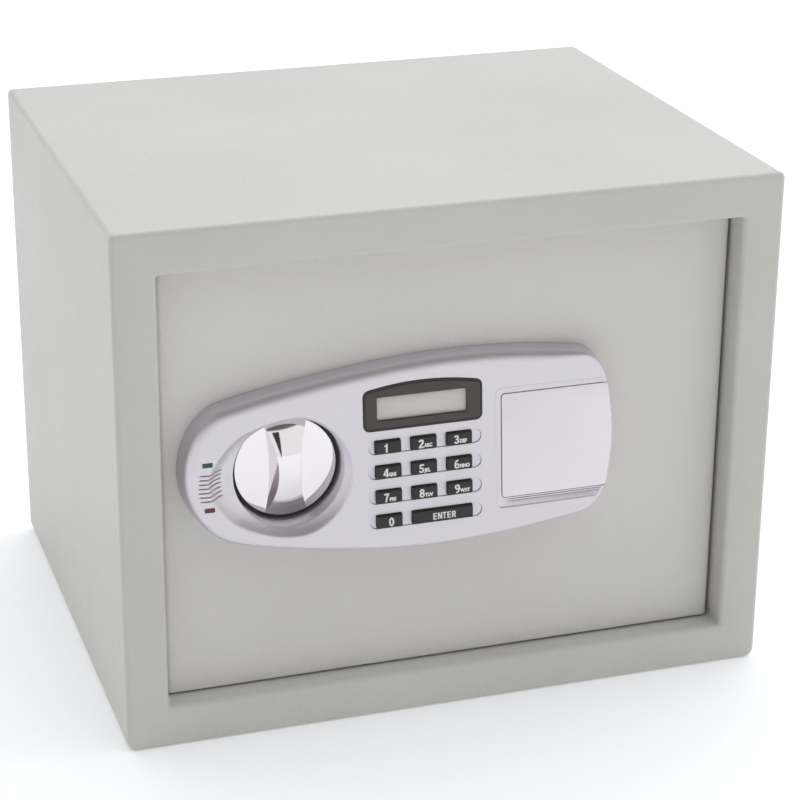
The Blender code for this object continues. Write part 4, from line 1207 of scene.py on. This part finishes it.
def stage():
    """A pale floor, a little brighter than its paint, and a dark card in front of the safe."""
    floor_mesh = bmesh.new()
    bmesh.ops.create_circle(floor_mesh, cap_ends=True, segments=96, radius=FLOOR_R)
    floor = staged("floor", floor_mesh)
    floor.location.z = -0.0002
    glow = {"Emission_Strength": 0.16, "Emission_Color": (1, 1, 1, 1)}
    look = Look("floor_paper", (250, 250, 250), 0.9, tint=((3, 3), (248, 248, 248), 0.5), **glow)
    floor.data.materials.append(look.material)

    # A dark studio card that only shows in the chrome and in the glossy edges
    card_mesh = bmesh.new()
    card_mesh.faces.new([card_mesh.verts.new((x, FRONT - CARD_AHEAD, z)) for x, z in CARD_CORNERS])
    card = staged("dark_card", card_mesh)
    card.visible_camera = card.visible_diffuse = card.visible_shadow = False
    look = Look("card_paper", (46, 46, 54), 0.9, tint=((5, 2), (38, 38, 46), 0.6))
    card.data.materials.append(look.material)


def staged(name, bm):
    obj = linked(name, bm)
    return obj


LENS, CAMERA_SHIFT = 107.286, (0.0625, -0.05)
CAMERA_AT = (-0.4127, -1.2861, 0.6799)
LOOK_DOWN_DEG, LOOK_RIGHT_DEG = 21.257, 17.193
DAYLIGHT = {"even": 0.50, "right": 0.44, "behind": 0.52, "up": 0.87}
WARM, COOL = (1.055, 0.99, 0.90, 1), (0.955, 1.0, 1.075, 1)
CEILING = (0.158, 0.146, 0.142)


def world_light():
    """Soft daylight, brighter from above, behind and the right, and warmer low down.

    Glossy surfaces see white with a dim ceiling instead, and the camera sees plain white.
    """
    world = bpy.data.worlds.new("studio")
    bpy.context.scene.world = world
    world.use_nodes = True

    def made(kind, inputs, **settings):
        return new_node(world.node_tree, kind, inputs, **settings)

    def graded(value, low, high):
        inputs = {"Value": value, "From Min": low, "From Max": high}
        return made("ShaderNodeMapRange", inputs, interpolation_type="SMOOTHSTEP").outputs["Result"]

    def mixed(share, first, second):
        return made("ShaderNodeMix", {0: share, 6: first, 7: second}, data_type="RGBA").outputs[2]

    place = made("ShaderNodeTexCoord", {}).outputs["Generated"]
    ray = made("ShaderNodeLightPath", {}).outputs
    lean = (DAYLIGHT["right"], DAYLIGHT["behind"], DAYLIGHT["up"])
    slope = made("ShaderNodeVectorMath", {0: place, 1: lean}, operation="DOT_PRODUCT").outputs["Value"]
    level = made("ShaderNodeMath", {0: slope, 1: DAYLIGHT["even"]}, operation="ADD").outputs[0]
    axes = made("ShaderNodeSeparateXYZ", {0: place}).outputs
    hue = mixed(graded(axes["Z"], 0.1, 0.9), WARM, COOL)
    daylight = made("ShaderNodeVectorMath", {0: hue, "Scale": level}, operation="SCALE").outputs[0]
    high_up = graded(axes["Z"], 0.505, 0.54)
    ahead = graded(axes["Y"], 0.62, 0.42)
    dim = made("ShaderNodeMath", {0: high_up, 1: ahead}, operation="MULTIPLY").outputs[0]
    reflected = mixed(dim, (1.0, 1.0, 1.0, 1), (*CEILING, 1))
    seen = mixed(ray["Is Glossy Ray"], daylight, reflected)
    seen = mixed(ray["Is Camera Ray"], seen, (1.0, 1.0, 1.0, 1))
    world.node_tree.links.new(seen, world.node_tree.nodes["Background"].inputs["Color"])


def camera():
    """The photo's viewpoint: in front, to the left and above, framing the safe with a little shift."""
    data = bpy.data.cameras.new("camera")
    data.lens = LENS
    data.sensor_width = 36
    data.shift_x, data.shift_y = CAMERA_SHIFT
    obj = bpy.data.objects.new("camera", data)
    bpy.context.scene.collection.objects.link(obj)
    obj.location = CAMERA_AT
    obj.rotation_euler = (math.radians(90 - LOOK_DOWN_DEG), 0, math.radians(-LOOK_RIGHT_DEG))
    bpy.context.scene.camera = obj


cabinet()
door()
panel_housing()
battery_cover()
display()
lights()
keypad()
knob()
bolt_work()
battery_bay()
stage()
world_light()
camera()
bpy.context.scene.view_settings.view_transform = "Standard"
